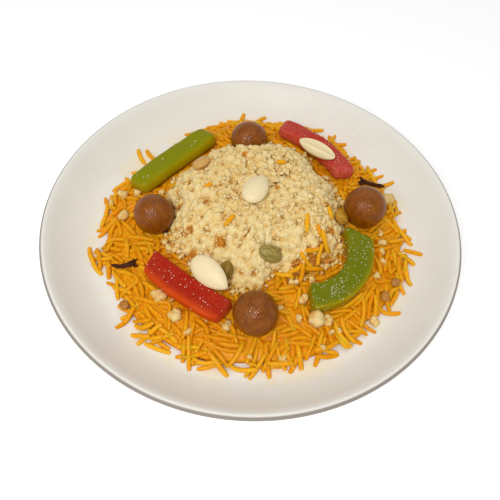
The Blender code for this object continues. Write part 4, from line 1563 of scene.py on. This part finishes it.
    def strew(
        self, rng: np.random.Generator, count: int, radii: Callable[[], float], reach: float, over: float
    ) -> Triple:
        """Strews crumbs where the mound is lowest.

        Args:
            rng: the source of chance.
            count: how many crumbs.
            radii: gives each crumb's radius.
            reach: how far they go, as a share of the mound's reach.
            over: how far a crumb may stand proud of the mound.

        Returns:
            The crumbs' middles, radii and tints.
        """
        heap, relief = self.heap, self.relief
        ring = np.arange(6) * math.tau / 6
        round_x, round_y = np.append(np.cos(ring), 0), np.append(np.sin(ring), 0)
        spots, sizes, tints = [], [], []
        tries = 0
        while len(spots) < count and tries < 4 * count:
            tries += 1
            radius = radii()
            x, y = self.place(rng.uniform(0, math.tau, 6), np.sqrt(rng.uniform(0, reach**2, 6)))
            lack = heap.khoya(x, y) - relief.at(x, y)
            best = int(np.argmax(lack + rng.uniform(0, 0.0025, 6)))
            x0, y0 = float(x[best]), float(y[best])
            below = relief.at(x0 + 0.5 * radius * round_x, y0 + 0.5 * radius * round_y)
            z = float(np.mean(below)) * 0.4 + float(np.max(below)) * 0.6 + 0.45 * radius
            proud = z + radius - float(heap.khoya(x0, y0))
            if proud > over:
                continue
            near = relief.room(x0 + 0.8 * radius * round_x, y0 + 0.8 * radius * round_y)
            if z + 0.8 * radius > near.min() + 0.0001:
                continue
            spots.append((x0, y0, z))
            sizes.append(radius)
            tint = float(self.tints(np.array(x0), np.array(y0), np.array(proud)))
            tints.append(float(np.clip(tint + rng.normal(0, 0.10), 0, 1)))
            relief.add_balls(np.array([(x0, y0, z)]), np.array([radius]))
        log.info("%d crumbs strewn in %d tries", len(spots), tries)
        return np.array(spots), np.array(sizes), np.array(tints)

    def dress(
        self,
        name: str,
        rng: np.random.Generator,
        strewn: Triple,
        relief: float,
        relief_size: float,
    ) -> None:
        """Turns strewn crumbs into one piece.

        Args:
            name: the piece's name.
            rng: the source of chance.
            strewn: the crumbs' middles, radii and tints.
            relief: how far its surface is pushed in and out.
            relief_size: how wide those dents are.
        """
        spots, radii, tints = strewn
        source = bpy.data.meshes.new(name + "_points")
        source.from_pydata(spots.tolist(), [], [])
        store(source, "size", radii[:, None] * rng.uniform(0.78, 1.22, (len(radii), 3)))
        store(source, "turn", rng.uniform(0, math.tau, (len(radii), 3)))
        store(source, "tint", tints)
        values = {"Relief": relief, "Relief scale": 1 / relief_size, "Finish": self.finish}
        add_piece(name, baked(source, crumb_tree(), values), None, Slot.KHOYA)

    def build(self) -> None:
        """Builds the core, the crumbs and the fines."""
        rng = np.random.default_rng(SEED + 1)
        self.heap_up(rng)
        self.build_core()
        crumbs = self.strew(
            rng, self.crumb_count, lambda: 0.0005 + 0.0009 * rng.random() ** 1.8, reach=1.09, over=0.0012
        )
        self.dress("khoya_crumbs", rng, crumbs, relief=0.0024, relief_size=0.0011)
        fines = self.strew(rng, self.fine_count, lambda: rng.uniform(0.00025, 0.0005), reach=1.08, over=0.0014)
        self.dress("khoya_fines", rng, fines, relief=0.0011, relief_size=0.0007)


@dataclass(frozen=True)
class Scrap:
    """A clump of khoya, or a chip of nut, on the rice: its place and width in millimetres."""

    x: float
    y: float
    size: float
    solid: bool = False


@dataclass
class Scraps:
    """The clumps of khoya and chips of nut that fell on the rice."""

    heap: Heap
    relief: Relief
    places: tuple[Scrap, ...] = tuple(
        Scrap(*scrap)
        for scrap in (
            (-68.8, 19.0, 5.6), (-60.0, 19.6, 5.1), (-65.5, 2.6, 5.6), (-73.7, 13.3, 2.6), (-42.3, -43.6, 7.0),
            (-33.1, -53.6, 7.4), (-27.0, -61.0, 4.7), (-9.5, -58.2, 6.0), (15.6, -48.0, 3.6), (25.9, -43.7, 5.6),
            (32.0, -54.0, 9.6), (37.2, -52.4, 6.2), (24.4, -53.0, 4.0), (39.3, -57.8, 2.8), (43.3, -56.6, 2.4),
            (17.5, -71.2, 5.6), (61.0, -48.7, 6.2, True), (62.4, -25.9, 3.6), (30.1, -33.0, 3.2),
            (71.5, 26.5, 9.0, True), (66.0, -5.3, 4.4, True), (66.6, -10.6, 4.0, True), (66.8, -16.5, 4.0, True),
            (66.0, 0.6, 3.6, True), (35.5, -66.0, 3.0, True), (2.0, -72.0, 2.6), (-18.5, -55.0, 2.4),
            (-36.0, -46.5, 2.6), (-42.5, -15.0, 3.6), (-39.8, -18.0, 4.2), (-36.2, -20.5, 4.0), (-38.6, -13.6, 4.0),
            (-33.5, -24.0, 3.2), (42.5, 23.0, 4.0), (45.5, 19.5, 3.8), (46.5, 14.5, 3.4), (41.5, 27.5, 3.4),
            (37.0, -25.5, 3.2), (30.0, -32.5, 3.0), (20.5, -35.0, 3.2),
        )
    )

    def build(self, khoya: KhoyaMound) -> None:
        """Builds the clumps as one piece of crumbs.

        Args:
            khoya: the mound whose crumbs they are made of.
        """
        rng = np.random.default_rng(SEED + 2)
        spots, radii, tints = [], [], []
        for place in self.places:
            x0, y0, size = place.x * MILLIMETRE, place.y * MILLIMETRE, place.size * MILLIMETRE
            base = float(self.relief.at(x0, y0))
            count = 4 if place.solid else int(6 + place.size * 1.6)
            for lump in range(count):
                bearing = rng.uniform(0, math.tau)
                distance = (0.06 + 0.20 * math.sqrt(rng.random())) * size * min(lump, 1)
                x, y = x0 + distance * math.cos(bearing), y0 + distance * math.sin(bearing)
                radius = max((0.31 if lump < 5 else rng.uniform(0.10, 0.18)) * size, 0.0004)
                z = min(float(self.relief.at(x, y)) + 0.25 * radius, base + 0.3 * size)
                if z + radius > float(self.relief.room(x, y)) + 0.0002:
                    continue
                spots.append((x, y, z))
                radii.append(radius)
                tints.append(float(np.clip(rng.normal(0.42, 0.12), 0, 1)))
                if not place.solid:
                    self.relief.add_balls(np.array([(x, y, z)]), np.array([radius]))
        strewn = np.array(spots), np.array(radii), np.array(tints)
        khoya.dress("khoya_scraps_on_rice", rng, strewn, relief=0.0022, relief_size=0.0020)


@dataclass
class MilkBalls:
    """The four small gulab jamun."""

    heap: Heap
    rings: int = 56
    across: int = 96

    def build(self) -> None:
        """Builds and dresses the balls."""
        finish = FriedMilkBall().make()
        for number, ball in enumerate(BALLS):
            middle = np.array(ball.middle(self.heap))
            rise = np.linspace(-math.pi / 2, math.pi / 2, self.rings + 2)
            turn = np.linspace(0, math.tau, self.across, endpoint=False)
            unit = np.empty((self.rings + 2, self.across, 3))
            unit[..., 0] = np.cos(rise)[:, None] * np.cos(turn)
            unit[..., 1] = np.cos(rise)[:, None] * np.sin(turn)
            unit[..., 2] = np.sin(rise)[:, None]
            swell = np.empty(unit.shape[:2])
            for ring, spots in enumerate(unit):
                for spot, direction in enumerate(spots):
                    sample = Vector(direction) * 1.3 + Vector((7.0 * number, 0, 0))
                    dent = noise.noise(sample) * 0.022 + noise.noise(sample * 9) * 0.006
                    swell[ring, spot] = 1 + dent - 0.004
            points = middle + unit * (swell * ball.radius)[..., None]
            poles = points[0].mean(axis=0), points[-1].mean(axis=0)
            mesh = closed_by_rings(ball.node + "_fried", points[1:-1], *poles)
            add_piece(ball.node + "_fried", mesh, finish, Slot.MILK_BALL, ball.node)


@dataclass(frozen=True)
class StripLook:
    """How one strip of candied fruit is cut and sugared."""

    seat: Seat
    slot: Slot
    finish: CandiedFruit
    drawn_in: float  # how much narrower its ends are, as a share of its width
    rounding: float  # its edges' radius, as a share of its thickness
    hollow: float = 0.0  # how far its top sinks between its edges
    frost: float = 1.0
    sugar: float = 0.01  # crystals all over, as a share of the densest
    clusters: tuple[tuple[float, float, float], ...] = ()  # along and across from -1 to 1, and radius in mm
    clustered: float = 0.16  # crystals in the clusters, as a share of the densest
    cut: float = 0.0  # how much shorter its bulging side is, at its start
    drawn_out: float = 0.0  # and how much longer its hollow side is there
    end_cut: float = 0.0  # how much shorter its bulging side is, at its end
    painted_glow: float = 0.05  # how far the sides' painted glow reaches over its bulging edge, as a share of half its width


# Each strip's top colour, its sides' lighter colour of painted glow, and its frosted colour
GREEN_LEFT = CandiedFruit("candied_green_satin", "828400", "A08A00", "9C9A38", 0.22)
GREEN_RIGHT = CandiedFruit("candied_green_sugared", "686E00", "A48C00", "7C8636", 0.30)
RED_RIGHT = CandiedFruit("candied_red_frosted", "B42212", "BE3810", "CE7C6C", 0.75, frost=0.9 * MILLIMETRE)
RED_LEFT = CandiedFruit("candied_red_sugared", "A01A06", "CC4404", "BE5C40", 0.34, frost=1.1 * MILLIMETRE)


@dataclass
class CandiedStrips:
    """The four strips of candied fruit, and the sugar on them."""

    heap: Heap
    crystal: float = 0.00032  # a sugar crystal's side
    densest: float = 2.2e6  # crystals to the square metre where they lie closest
    looks: tuple[StripLook, ...] = (
        StripLook(
            STRIPS[0], Slot.GREEN, GREEN_LEFT, drawn_in=0.18, rounding=0.40, frost=0.5, sugar=0.004,
            clusters=(
                (0.55, -0.3, 3.0), (0.45, -0.6, 2.4), (-0.55, 0.2, 2.6),
                (-0.8, 0.4, 2.6), (-0.75, -0.5, 3.0), (-0.5, -0.8, 2.4),
            ),
        ),
        StripLook(
            STRIPS[1], Slot.GREEN, GREEN_RIGHT, drawn_in=0.08, rounding=0.20, hollow=0.0006, sugar=0.08,
            clusters=((0.55, 0.0, 7.0), (0.3, -0.2, 4.0)), clustered=0.42, cut=0.009, drawn_out=0.0025, painted_glow=0.35,
        ),
        StripLook(STRIPS[2], Slot.RED, RED_RIGHT, drawn_in=0.08, rounding=0.40, clusters=((0.7, 0.0, 5.0),)),
        StripLook(
            STRIPS[3], Slot.RED, RED_LEFT, drawn_in=0.14, rounding=0.26, hollow=0.0014, sugar=0.02,
            clusters=((-0.5, 0.1, 4.5), (0.0, 0.0, 5.0), (0.4, 0.0, 5.0)), cut=0.003, end_cut=0.0045, painted_glow=0.75,
        ),
    )

    def stations(self, half: float, radius: float) -> list[tuple[float, float, float]]:
        """The rings that a strip is lofted through.

        Args:
            half: half its length.
            radius: the radius of its rounded edges.

        Returns:
            For each ring its place along, how far it is inset, and its share of the end's face.
        """
        start = [(-half, radius, share) for share in (0.35, 0.7, 0.9)]
        for turn in np.linspace(0, math.pi / 2, 6):
            start.append((-half + radius - radius * math.cos(turn), radius - radius * math.sin(turn), 1.0))
        middle = [(along, 0.0, 1.0) for along in np.linspace(-half + radius, half - radius, 56)[1:-1]]
        return start + middle + [(-along, inset, share) for along, inset, share in reversed(start)]

    def section(self, half_width: float, half_height: float, radius: float) -> np.ndarray:
        """A rounded rectangle of points, anticlockwise from +Y.

        Args:
            half_width: half its width.
            half_height: half its height.
            radius: the radius of its corners.

        Returns:
            The points, each across and up.
        """
        points = []
        corners = ((1, 1, 0), (-1, 1, 90), (-1, -1, 180), (1, -1, 270))
        for across, up, first in corners:
            middle = across * (half_width - radius), up * (half_height - radius)
            for turn in np.linspace(first, first + 90, 7):
                bearing = math.radians(turn)
                points.append((middle[0] + radius * math.cos(bearing), middle[1] + radius * math.sin(bearing)))
            if up > 0 and across > 0:
                points += [(share * (half_width - radius), half_height) for share in (0.6, 0.2, -0.2, -0.6)]
            if up < 0 and across < 0:
                points += [(share * (half_width - radius), -half_height) for share in (-0.6, -0.2, 0.2, 0.6)]
        return np.array(points)

    def build_strip(self, look: StripLook, number: int) -> Mesh:
        """Builds one strip's mesh, in place, with its attributes `side`, `frost` and `sugar`.

        Args:
            look: how it is cut and sugared.
            number: the strip's number, which sets its unevenness.

        Returns:
            The mesh.
        """
        seat = look.seat
        half, wide, thick = seat.length / 2, seat.width / 2, seat.thickness / 2
        radius = look.rounding * seat.thickness
        frame = np.array(seat.frame(self.heap))
        rings, sides, shares = [], [], []
        for along, inset, share in self.stations(half, radius):
            corner = max(radius - inset, 0.00002)
            section = self.section(wide - inset, thick - inset, corner) * share
            drawn = 1 - look.drawn_in * abs(along / half) ** 4
            across = section[:, 0] * drawn
            up = section[:, 1]
            upper = smoothstep(up, -0.2 * thick, thick)
            up = up - upper * look.hollow * (1 - (across / wide) ** 2) * (1 - abs(along / half) ** 6)
            for spot in range(len(up)):
                sample = Vector((along * 110, across[spot] * 110, up[spot] * 110 + 9.0 * number))
                up[spot] += upper[spot] * 0.00055 * noise.noise(sample)
                across[spot] += 0.0004 * noise.noise(sample + Vector((0, 5, 0)))
            share = across / seat.width + 0.5
            shortened = (look.cut * share - look.drawn_out * (1 - share)) * max(-along / half, 0) ** 4
            shortened = shortened - look.end_cut * share * max(along / half, 0) ** 4
            ahead, beside = seat.bent(along + shortened, across)
            rings.append(np.column_stack((ahead, beside, up + thick)))
            # The cut sides, and the top near its bulging edge, take the lighter colour of painted glow
            below = 1 - smoothstep(section[:, 1], 0.35 * thick, 0.98 * thick)
            sides.append(np.maximum(below, smoothstep(across / wide, 1 - look.painted_glow, 1)))
            shares.append(np.column_stack((np.full(len(across), along / half), across / wide)))
        grid = np.array(rings)
        grid = grid @ frame[:3, :3].T + frame[:3, 3]
        poles = grid[0].mean(axis=0), grid[-1].mean(axis=0)
        mesh = closed_by_rings(seat.node + "_cut", grid, *poles)
        side = np.concatenate((np.concatenate(sides), [1, 1]))
        spots = np.vstack((np.vstack(shares), (-1, 0), (1, 0)))
        store(mesh, "side", side)
        store(mesh, "frost", look.frost * (0.45 + 0.55 * np.abs(spots[:, 0]) ** 1.5))
        dense = np.full(len(side), look.sugar)
        for ahead, beside, width in look.clusters:
            distance = np.hypot((spots[:, 0] - ahead) * half, (spots[:, 1] - beside) * wide)
            dense = np.maximum(dense, look.clustered * (1 - smoothstep(distance, 0, width * MILLIMETRE)))
        store(mesh, "sugar", dense * (1 - 0.8 * side))
        return mesh

    def build(self) -> None:
        """Builds the strips and their sugar."""
        joined = bmesh.new()
        for number, look in enumerate(self.looks):
            mesh = self.build_strip(look, number)
            joined.from_mesh(mesh)
            add_piece(look.seat.node + "_cut", mesh, look.finish.make(), look.slot, look.seat.node)
        sugared = bpy.data.meshes.new("sugared")
        joined.to_mesh(sugared)
        joined.free()
        values = {"Crystal": self.crystal, "Density": self.densest, "Seed": SEED, "Finish": SugarCrystal().make()}
        add_piece("sugar_crystals", baked(sugared, crystal_tree(), values), None, Slot.GREEN)


def pod(
    name: str, seat: Seat, heap: Heap, rings: int, across: int, shape: Callable[[np.ndarray, np.ndarray], Triple]
) -> tuple[Mesh, np.ndarray, np.ndarray]:
    """A closed body along +X between two poles, laid in a seat.

    Args:
        name: the mesh's name.
        seat: where it lies.
        heap: the heap that it lies on.
        rings: how many rings there are between the poles.
        across: how many points each has.
        shape: gives, for the place along (-1 to 1) and the turn about the length, the point in half sizes
            across and up from the middle line, and along.

    Returns:
        The mesh, and the place along and the turn of each of its points.
    """
    along = -np.cos(np.linspace(0, math.pi, rings + 2))
    turn = np.linspace(0, math.tau, across, endpoint=False)
    grid_along, grid_turn = np.meshgrid(along, turn, indexing="ij")
    ahead, beside, up = shape(grid_along, grid_turn)
    points = np.dstack((ahead * seat.length / 2, beside * seat.width / 2, (up + 1) * seat.thickness / 2))
    frame = np.array(seat.frame(heap))
    points = points @ frame[:3, :3].T + frame[:3, 3]
    mesh = closed_by_rings(name, points[1:-1], points[0].mean(axis=0), points[-1].mean(axis=0))
    flat_along = np.concatenate((grid_along[1:-1].ravel(), [-1, 1]))
    flat_turn = np.concatenate((grid_turn[1:-1].ravel(), [0, 0]))
    return mesh, flat_along, flat_turn

def fold_depth(along: np.ndarray, turn: np.ndarray, number: int) -> np.ndarray:
    """How deep in one of a raisin's folds each point is.

    Args:
        along: the place along its length, from -1 to 1.
        turn: the turn about its length.
        number: the raisin's own number, which places its folds.

    Returns:
        From 0 to 1 for each point.
    """
    wander = 0.5 * np.sin(3.1 * along + number) + 0.25 * np.sin(7.3 * along + 2 * number)
    first = np.abs(np.sin(2.5 * turn + wander + number)) ** 0.7
    second = np.abs(np.sin(4.5 * turn - 2 * wander + 1.7 * number + along)) ** 0.8
    return 1 - np.clip(0.65 * first + 0.45 * second, 0, 1)


def rounded(along: np.ndarray, turn: np.ndarray, number: int = 0, depth: float = 0.0) -> Triple:
    """The shape of a rounded body with folds along its length.

    Args:
        along: the place along its length, from -1 to 1.
        turn: the turn about its length.
        number: the number that places its folds.
        depth: how deep they are, as a share of its half width.

    Returns:
        The points along, across and up, in half sizes.
    """
    swell = np.sqrt(np.maximum(1 - along**2, 0)) * (1 - depth * fold_depth(along, turn, number))
    return along, swell * np.cos(turn), swell * np.sin(turn)

@dataclass
class Almonds:
    """Three blanched almonds, one of them split."""

    heap: Heap
    rings: int = 54
    across: int = 72

    def whole(self, along: np.ndarray, turn: np.ndarray, tip: float = 0.68) -> Triple:
        """The shape of a whole almond: blunt at -1, with its tip at +1, faintly ridged along its length.

        Args:
            along: the place along its length.
            turn: the turn about its length.
            tip: how sharply it closes to the tip.

        Returns:
            The points along, across and up, in half sizes.
        """
        width = 0.985 * np.maximum(1 + along, 0) ** 0.5 * np.maximum(1 - along, 0) ** tip
        ridges = 1 + 0.008 * np.sin(14 * turn + 1.5 * along) * (1 - along**2)
        return along, width * np.cos(turn) * ridges, width * np.sin(turn) * ridges

    def split(self, along: np.ndarray, turn: np.ndarray) -> Triple:
        """The shape of a half almond: its split face up, with the low ridge down its middle.

        Args:
            along: the place along its length.
            turn: the turn about its length.

        Returns:
            The points along, across and up, in half sizes.
        """
        ahead, beside, up = self.whole(along, turn, 0.55)
        upper = up > 0
        ridge = 0.17 * np.exp(-((beside / 0.13) ** 2)) * (1 - along**2)
        groove = -0.13 * np.exp(-(((beside - 0.27) / 0.16) ** 2)) * (1 - along**2)
        rim = 0.22 * smoothstep(np.abs(np.cos(turn)), 0.72, 0.95) * (1 - along**2)
        face = -0.12 + ridge + groove + rim
        return ahead, beside, np.where(upper, np.minimum(face, np.maximum(up, -0.02) + 0.02), up)

    def build(self) -> None:
        """Builds and dresses the almonds."""
        finish = BlanchedAlmond().make()
        for seat in ALMONDS:
            halved = seat.node == "almond_half"
            shape = self.split if halved else self.whole
            mesh, _, turn = pod(seat.node + "_blanched", seat, self.heap, self.rings, self.across, shape)
            # The split almond's flanks take the darker colour: painted shade
            edge = smoothstep(np.abs(np.cos(turn)), 0.80, 1.0) * 0.7 if halved else np.zeros(len(turn))
            store(mesh, "rim", edge)
            add_piece(seat.node + "_blanched", mesh, finish, Slot.ALMOND, seat.node)


@dataclass
class Raisins:
    """The raisins, each with its own colour and folds."""

    heap: Heap
    rings: int = 44
    across: int = 64
    fold_share: float = 0.20  # how deep the folds are, as a share of the half width
    smooth_share: float = 0.08  # and those of the first raisin, which is nearly smooth
    # For each raisin, its colour deep in its folds, darker as painted shade, and its body's colour
    colours: tuple[tuple[str, str], ...] = (
        ("BC8842", "D0A25C"), ("66541A", "A08C48"), ("8A5A10", "BE8C28"), ("584410", "8E7024"),
        ("86501C", "B87E40"), ("86501A", "BC8438"), ("8A5420", "B47C36"),
    )

    def build(self) -> None:
        """Builds and dresses the raisins."""
        for number, (seat, colours) in enumerate(zip(RAISINS, self.colours)):
            name = seat.node + "_dried"
            shape = partial(rounded, number=number, depth=self.fold_share if number else self.smooth_share)
            mesh, along, turn = pod(name, seat, self.heap, self.rings, self.across, shape)
            # Deep in the folds the raisin is painted darker: painted shade
            store(mesh, "fold_shade", 0.75 * fold_depth(along, turn, number))
            add_piece(name, mesh, DriedRaisin(name, *colours).make(), Slot.RAISIN, seat.node)


@dataclass
class Cloves:
    """The two cloves, and the broken bit of one by the left ball."""

    heap: Heap
    sliver: Seat = Seat("clove_sliver", -0.0422, -0.0092, 62, 0.0046, 0.0014, 0.0014, raised=0.0012)
    knots: int = 14
    sides: int = 10

    def body(self, length: float, thickness: float, crooked: float) -> bmesh.types.BMesh:
        """A clove along +X with its head at -X: a bent, tapered stem, four sepals and the bud between them.

        Args:
            length: its length.
            thickness: its thickness, which sets how high its middle line lies.
            crooked: how far the stem bows to +Y.

        Returns:
            The shape.
        """
        half, middle = length / 2, thickness / 2
        shape = bmesh.new()
        rings = []
        for knot in range(self.knots):
            share = knot / (self.knots - 1)
            x = -half + 0.0022 + share * (length - 0.0022)
            girth = 0.00096 + 0.0004 * (1 - share) ** 2 + 0.00014 * math.sin(share * 19)
            girth *= 1 - 0.55 * max(share - 0.9, 0) / 0.1
            bow = crooked * math.sin(share * math.pi)
            ring = []
            for side in range(self.sides):
                turn = math.tau * side / self.sides
                rough = girth * (1 + 0.12 * math.sin(3 * turn + 5 * share))
                ring.append(shape.verts.new((x, rough * math.cos(turn) + bow, middle + rough * math.sin(turn))))
            rings.append(ring)
        for first, second in zip(rings, rings[1:]):
            for side in range(self.sides):
                beside = (side + 1) % self.sides
                shape.faces.new((first[side], first[beside], second[beside], second[side]))
        shape.faces.new(rings[0][::-1])
        shape.faces.new(rings[-1])
        bud = Matrix.Translation((-half + 0.0016, 0, middle)) @ Matrix.Diagonal((0.0011, 0.0011, 0.0011, 1))
        bmesh.ops.create_icosphere(shape, subdivisions=3, radius=1, matrix=bud)
        head = Matrix.Translation((-half + 0.0032, 0, middle))
        outwards = Matrix.Translation((0, 0, 0.0020))
        for number in range(4):
            turned = Matrix.Rotation(math.pi / 2 * number + 0.4, 4, "X")
            spread = turned @ Matrix.Rotation(math.radians(-50), 4, "Y")
            sepal = head @ spread @ outwards @ Matrix.Diagonal((0.00055, 0.00085, 0.0021, 1))
            bmesh.ops.create_icosphere(shape, subdivisions=2, radius=1, matrix=sepal)
        bmesh.ops.recalc_face_normals(shape, faces=shape.faces)
        return shape

    def build(self) -> None:
        """Builds and dresses the cloves."""
        finish = DriedClove().make()
        for seat, crooked in zip(CLOVES, (0.0010, -0.0004)):
            shape = self.body(seat.length, seat.thickness, crooked)
            shape.transform(seat.frame(self.heap))
            mesh = bpy.data.meshes.new(seat.node + "_dried")
            shape.to_mesh(mesh)
            shape.free()
            mesh.shade_smooth()
            add_piece(seat.node + "_dried", mesh, finish, Slot.CLOVE, seat.node)
        sliver, _, _ = pod("clove_sliver", self.sliver, self.heap, 8, 8, rounded)
        add_piece("clove_sliver", sliver, finish, Slot.CLOVE)


@dataclass
class Studio:
    """A plain pale floor, soft light, and the camera at the photograph's angle."""

    elevation: float = 54.533
    roll: float = 2.770
    distance: float = 0.33825
    target: tuple[float, float, float] = (-0.00014, -0.01866, 0.019)
    lens: float = 50.0
    sensor: float = 36.0

    def build_camera(self) -> None:
        """Places the camera."""
        rise, roll = math.radians(self.elevation), math.radians(self.roll)
        back = Vector((0, -math.cos(rise), math.sin(rise)))
        right = Vector((1, 0, 0))
        up = back.cross(right)
        turned_right = right * math.cos(roll) + up * math.sin(roll)
        turned_up = up * math.cos(roll) - right * math.sin(roll)
        place = Vector(self.target) + back * self.distance
        columns = Matrix((turned_right, turned_up, back)).transposed().to_4x4()
        data = bpy.data.cameras.new("camera")
        data.lens = self.lens
        data.sensor_width = self.sensor
        data.clip_start = 0.01
        camera = bpy.data.objects.new("camera", data)
        camera.matrix_world = Matrix.Translation(place) @ columns
        bpy.context.scene.collection.objects.link(camera)
        bpy.context.scene.camera = camera

    def build_light(
        self, name: str, azimuth: float, elevation: float, distance: float, size: float, power: float
    ) -> None:
        """Places a square soft light that looks at the heap.

        Args:
            name: the light's name.
            azimuth: where it stands, from the camera's side, positive to the right, in degrees.
            elevation: how high it stands, in degrees.
            distance: how far off.
            size: its side.
            power: its power in watts.
        """
        turn, rise = math.radians(azimuth), math.radians(elevation)
        away = Vector((math.sin(turn) * math.cos(rise), -math.cos(turn) * math.cos(rise), math.sin(rise)))
        data = bpy.data.lights.new(name, "AREA")
        data.shape = "SQUARE"
        data.size = size
        data.energy = power
        light = bpy.data.objects.new(name, data)
        facing = away.to_track_quat("Z", "Y").to_matrix().to_4x4()
        light.matrix_world = Matrix.Translation(away * distance) @ facing
        bpy.context.scene.collection.objects.link(light)

    def build(self) -> None:
        """Builds the floor, the lights and the camera."""
        self.build_camera()
        half = 1.5
        corners = np.array([(-half, -half, 0), (half, -half, 0), (half, half, 0), (-half, half, 0)])
        white = linear("FFFFFF")
        finish = Shading.begin("matt_white_floor").set(
            Base_Color=white, Roughness=0.9, Emission_Color=white, Emission_Strength=0.12
        )
        linked("floor", mesh_from("floor", corners, [(0, 1, 2, 3)]), finish)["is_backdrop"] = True
        world = bpy.data.worlds.new("studio")
        world.use_nodes = True
        feed(world.node_tree, world.node_tree.nodes["Background"], {"Color": (1, 1, 1, 1), "Strength": 0.46})
        bpy.context.scene.world = world
        # Each light's azimuth, elevation, distance, side and watts
        self.build_light("key", -28, 50, 0.9, 0.34, 2.4)
        self.build_light("camera side", -6, 58, 0.9, 0.09, 2.2)
        self.build_light("back", 160, 62, 1.2, 0.9, 1.8)
        bpy.context.scene.view_settings.view_transform = "Standard"


def main() -> None:
    """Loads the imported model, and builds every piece."""
    logging.basicConfig(level=logging.INFO, format="%(name)s: %(message)s")
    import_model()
    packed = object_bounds()
    heap = Heap()
    Studio().build()
    Plate(heap.plate).build()
    relief = Relief(heap)
    rice = RiceHeap(heap, relief)
    rice.build()
    khoya = KhoyaMound(heap, relief, CrumbledKhoya().make())
    khoya.build()
    rice.build_on_mound()
    Scraps(heap, relief).build(khoya)
    MilkBalls(heap).build()
    CandiedStrips(heap).build()
    Almonds(heap).build()
    Raisins(heap).build()
    Cloves(heap).build()
    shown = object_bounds()
    in_millimetres = (np.round(np.array(box) / MILLIMETRE, 1).tolist() for box in (packed, shown))
    log.info("packed %s, shown %s", *in_millimetres)


if __name__ == "__main__":
    main()
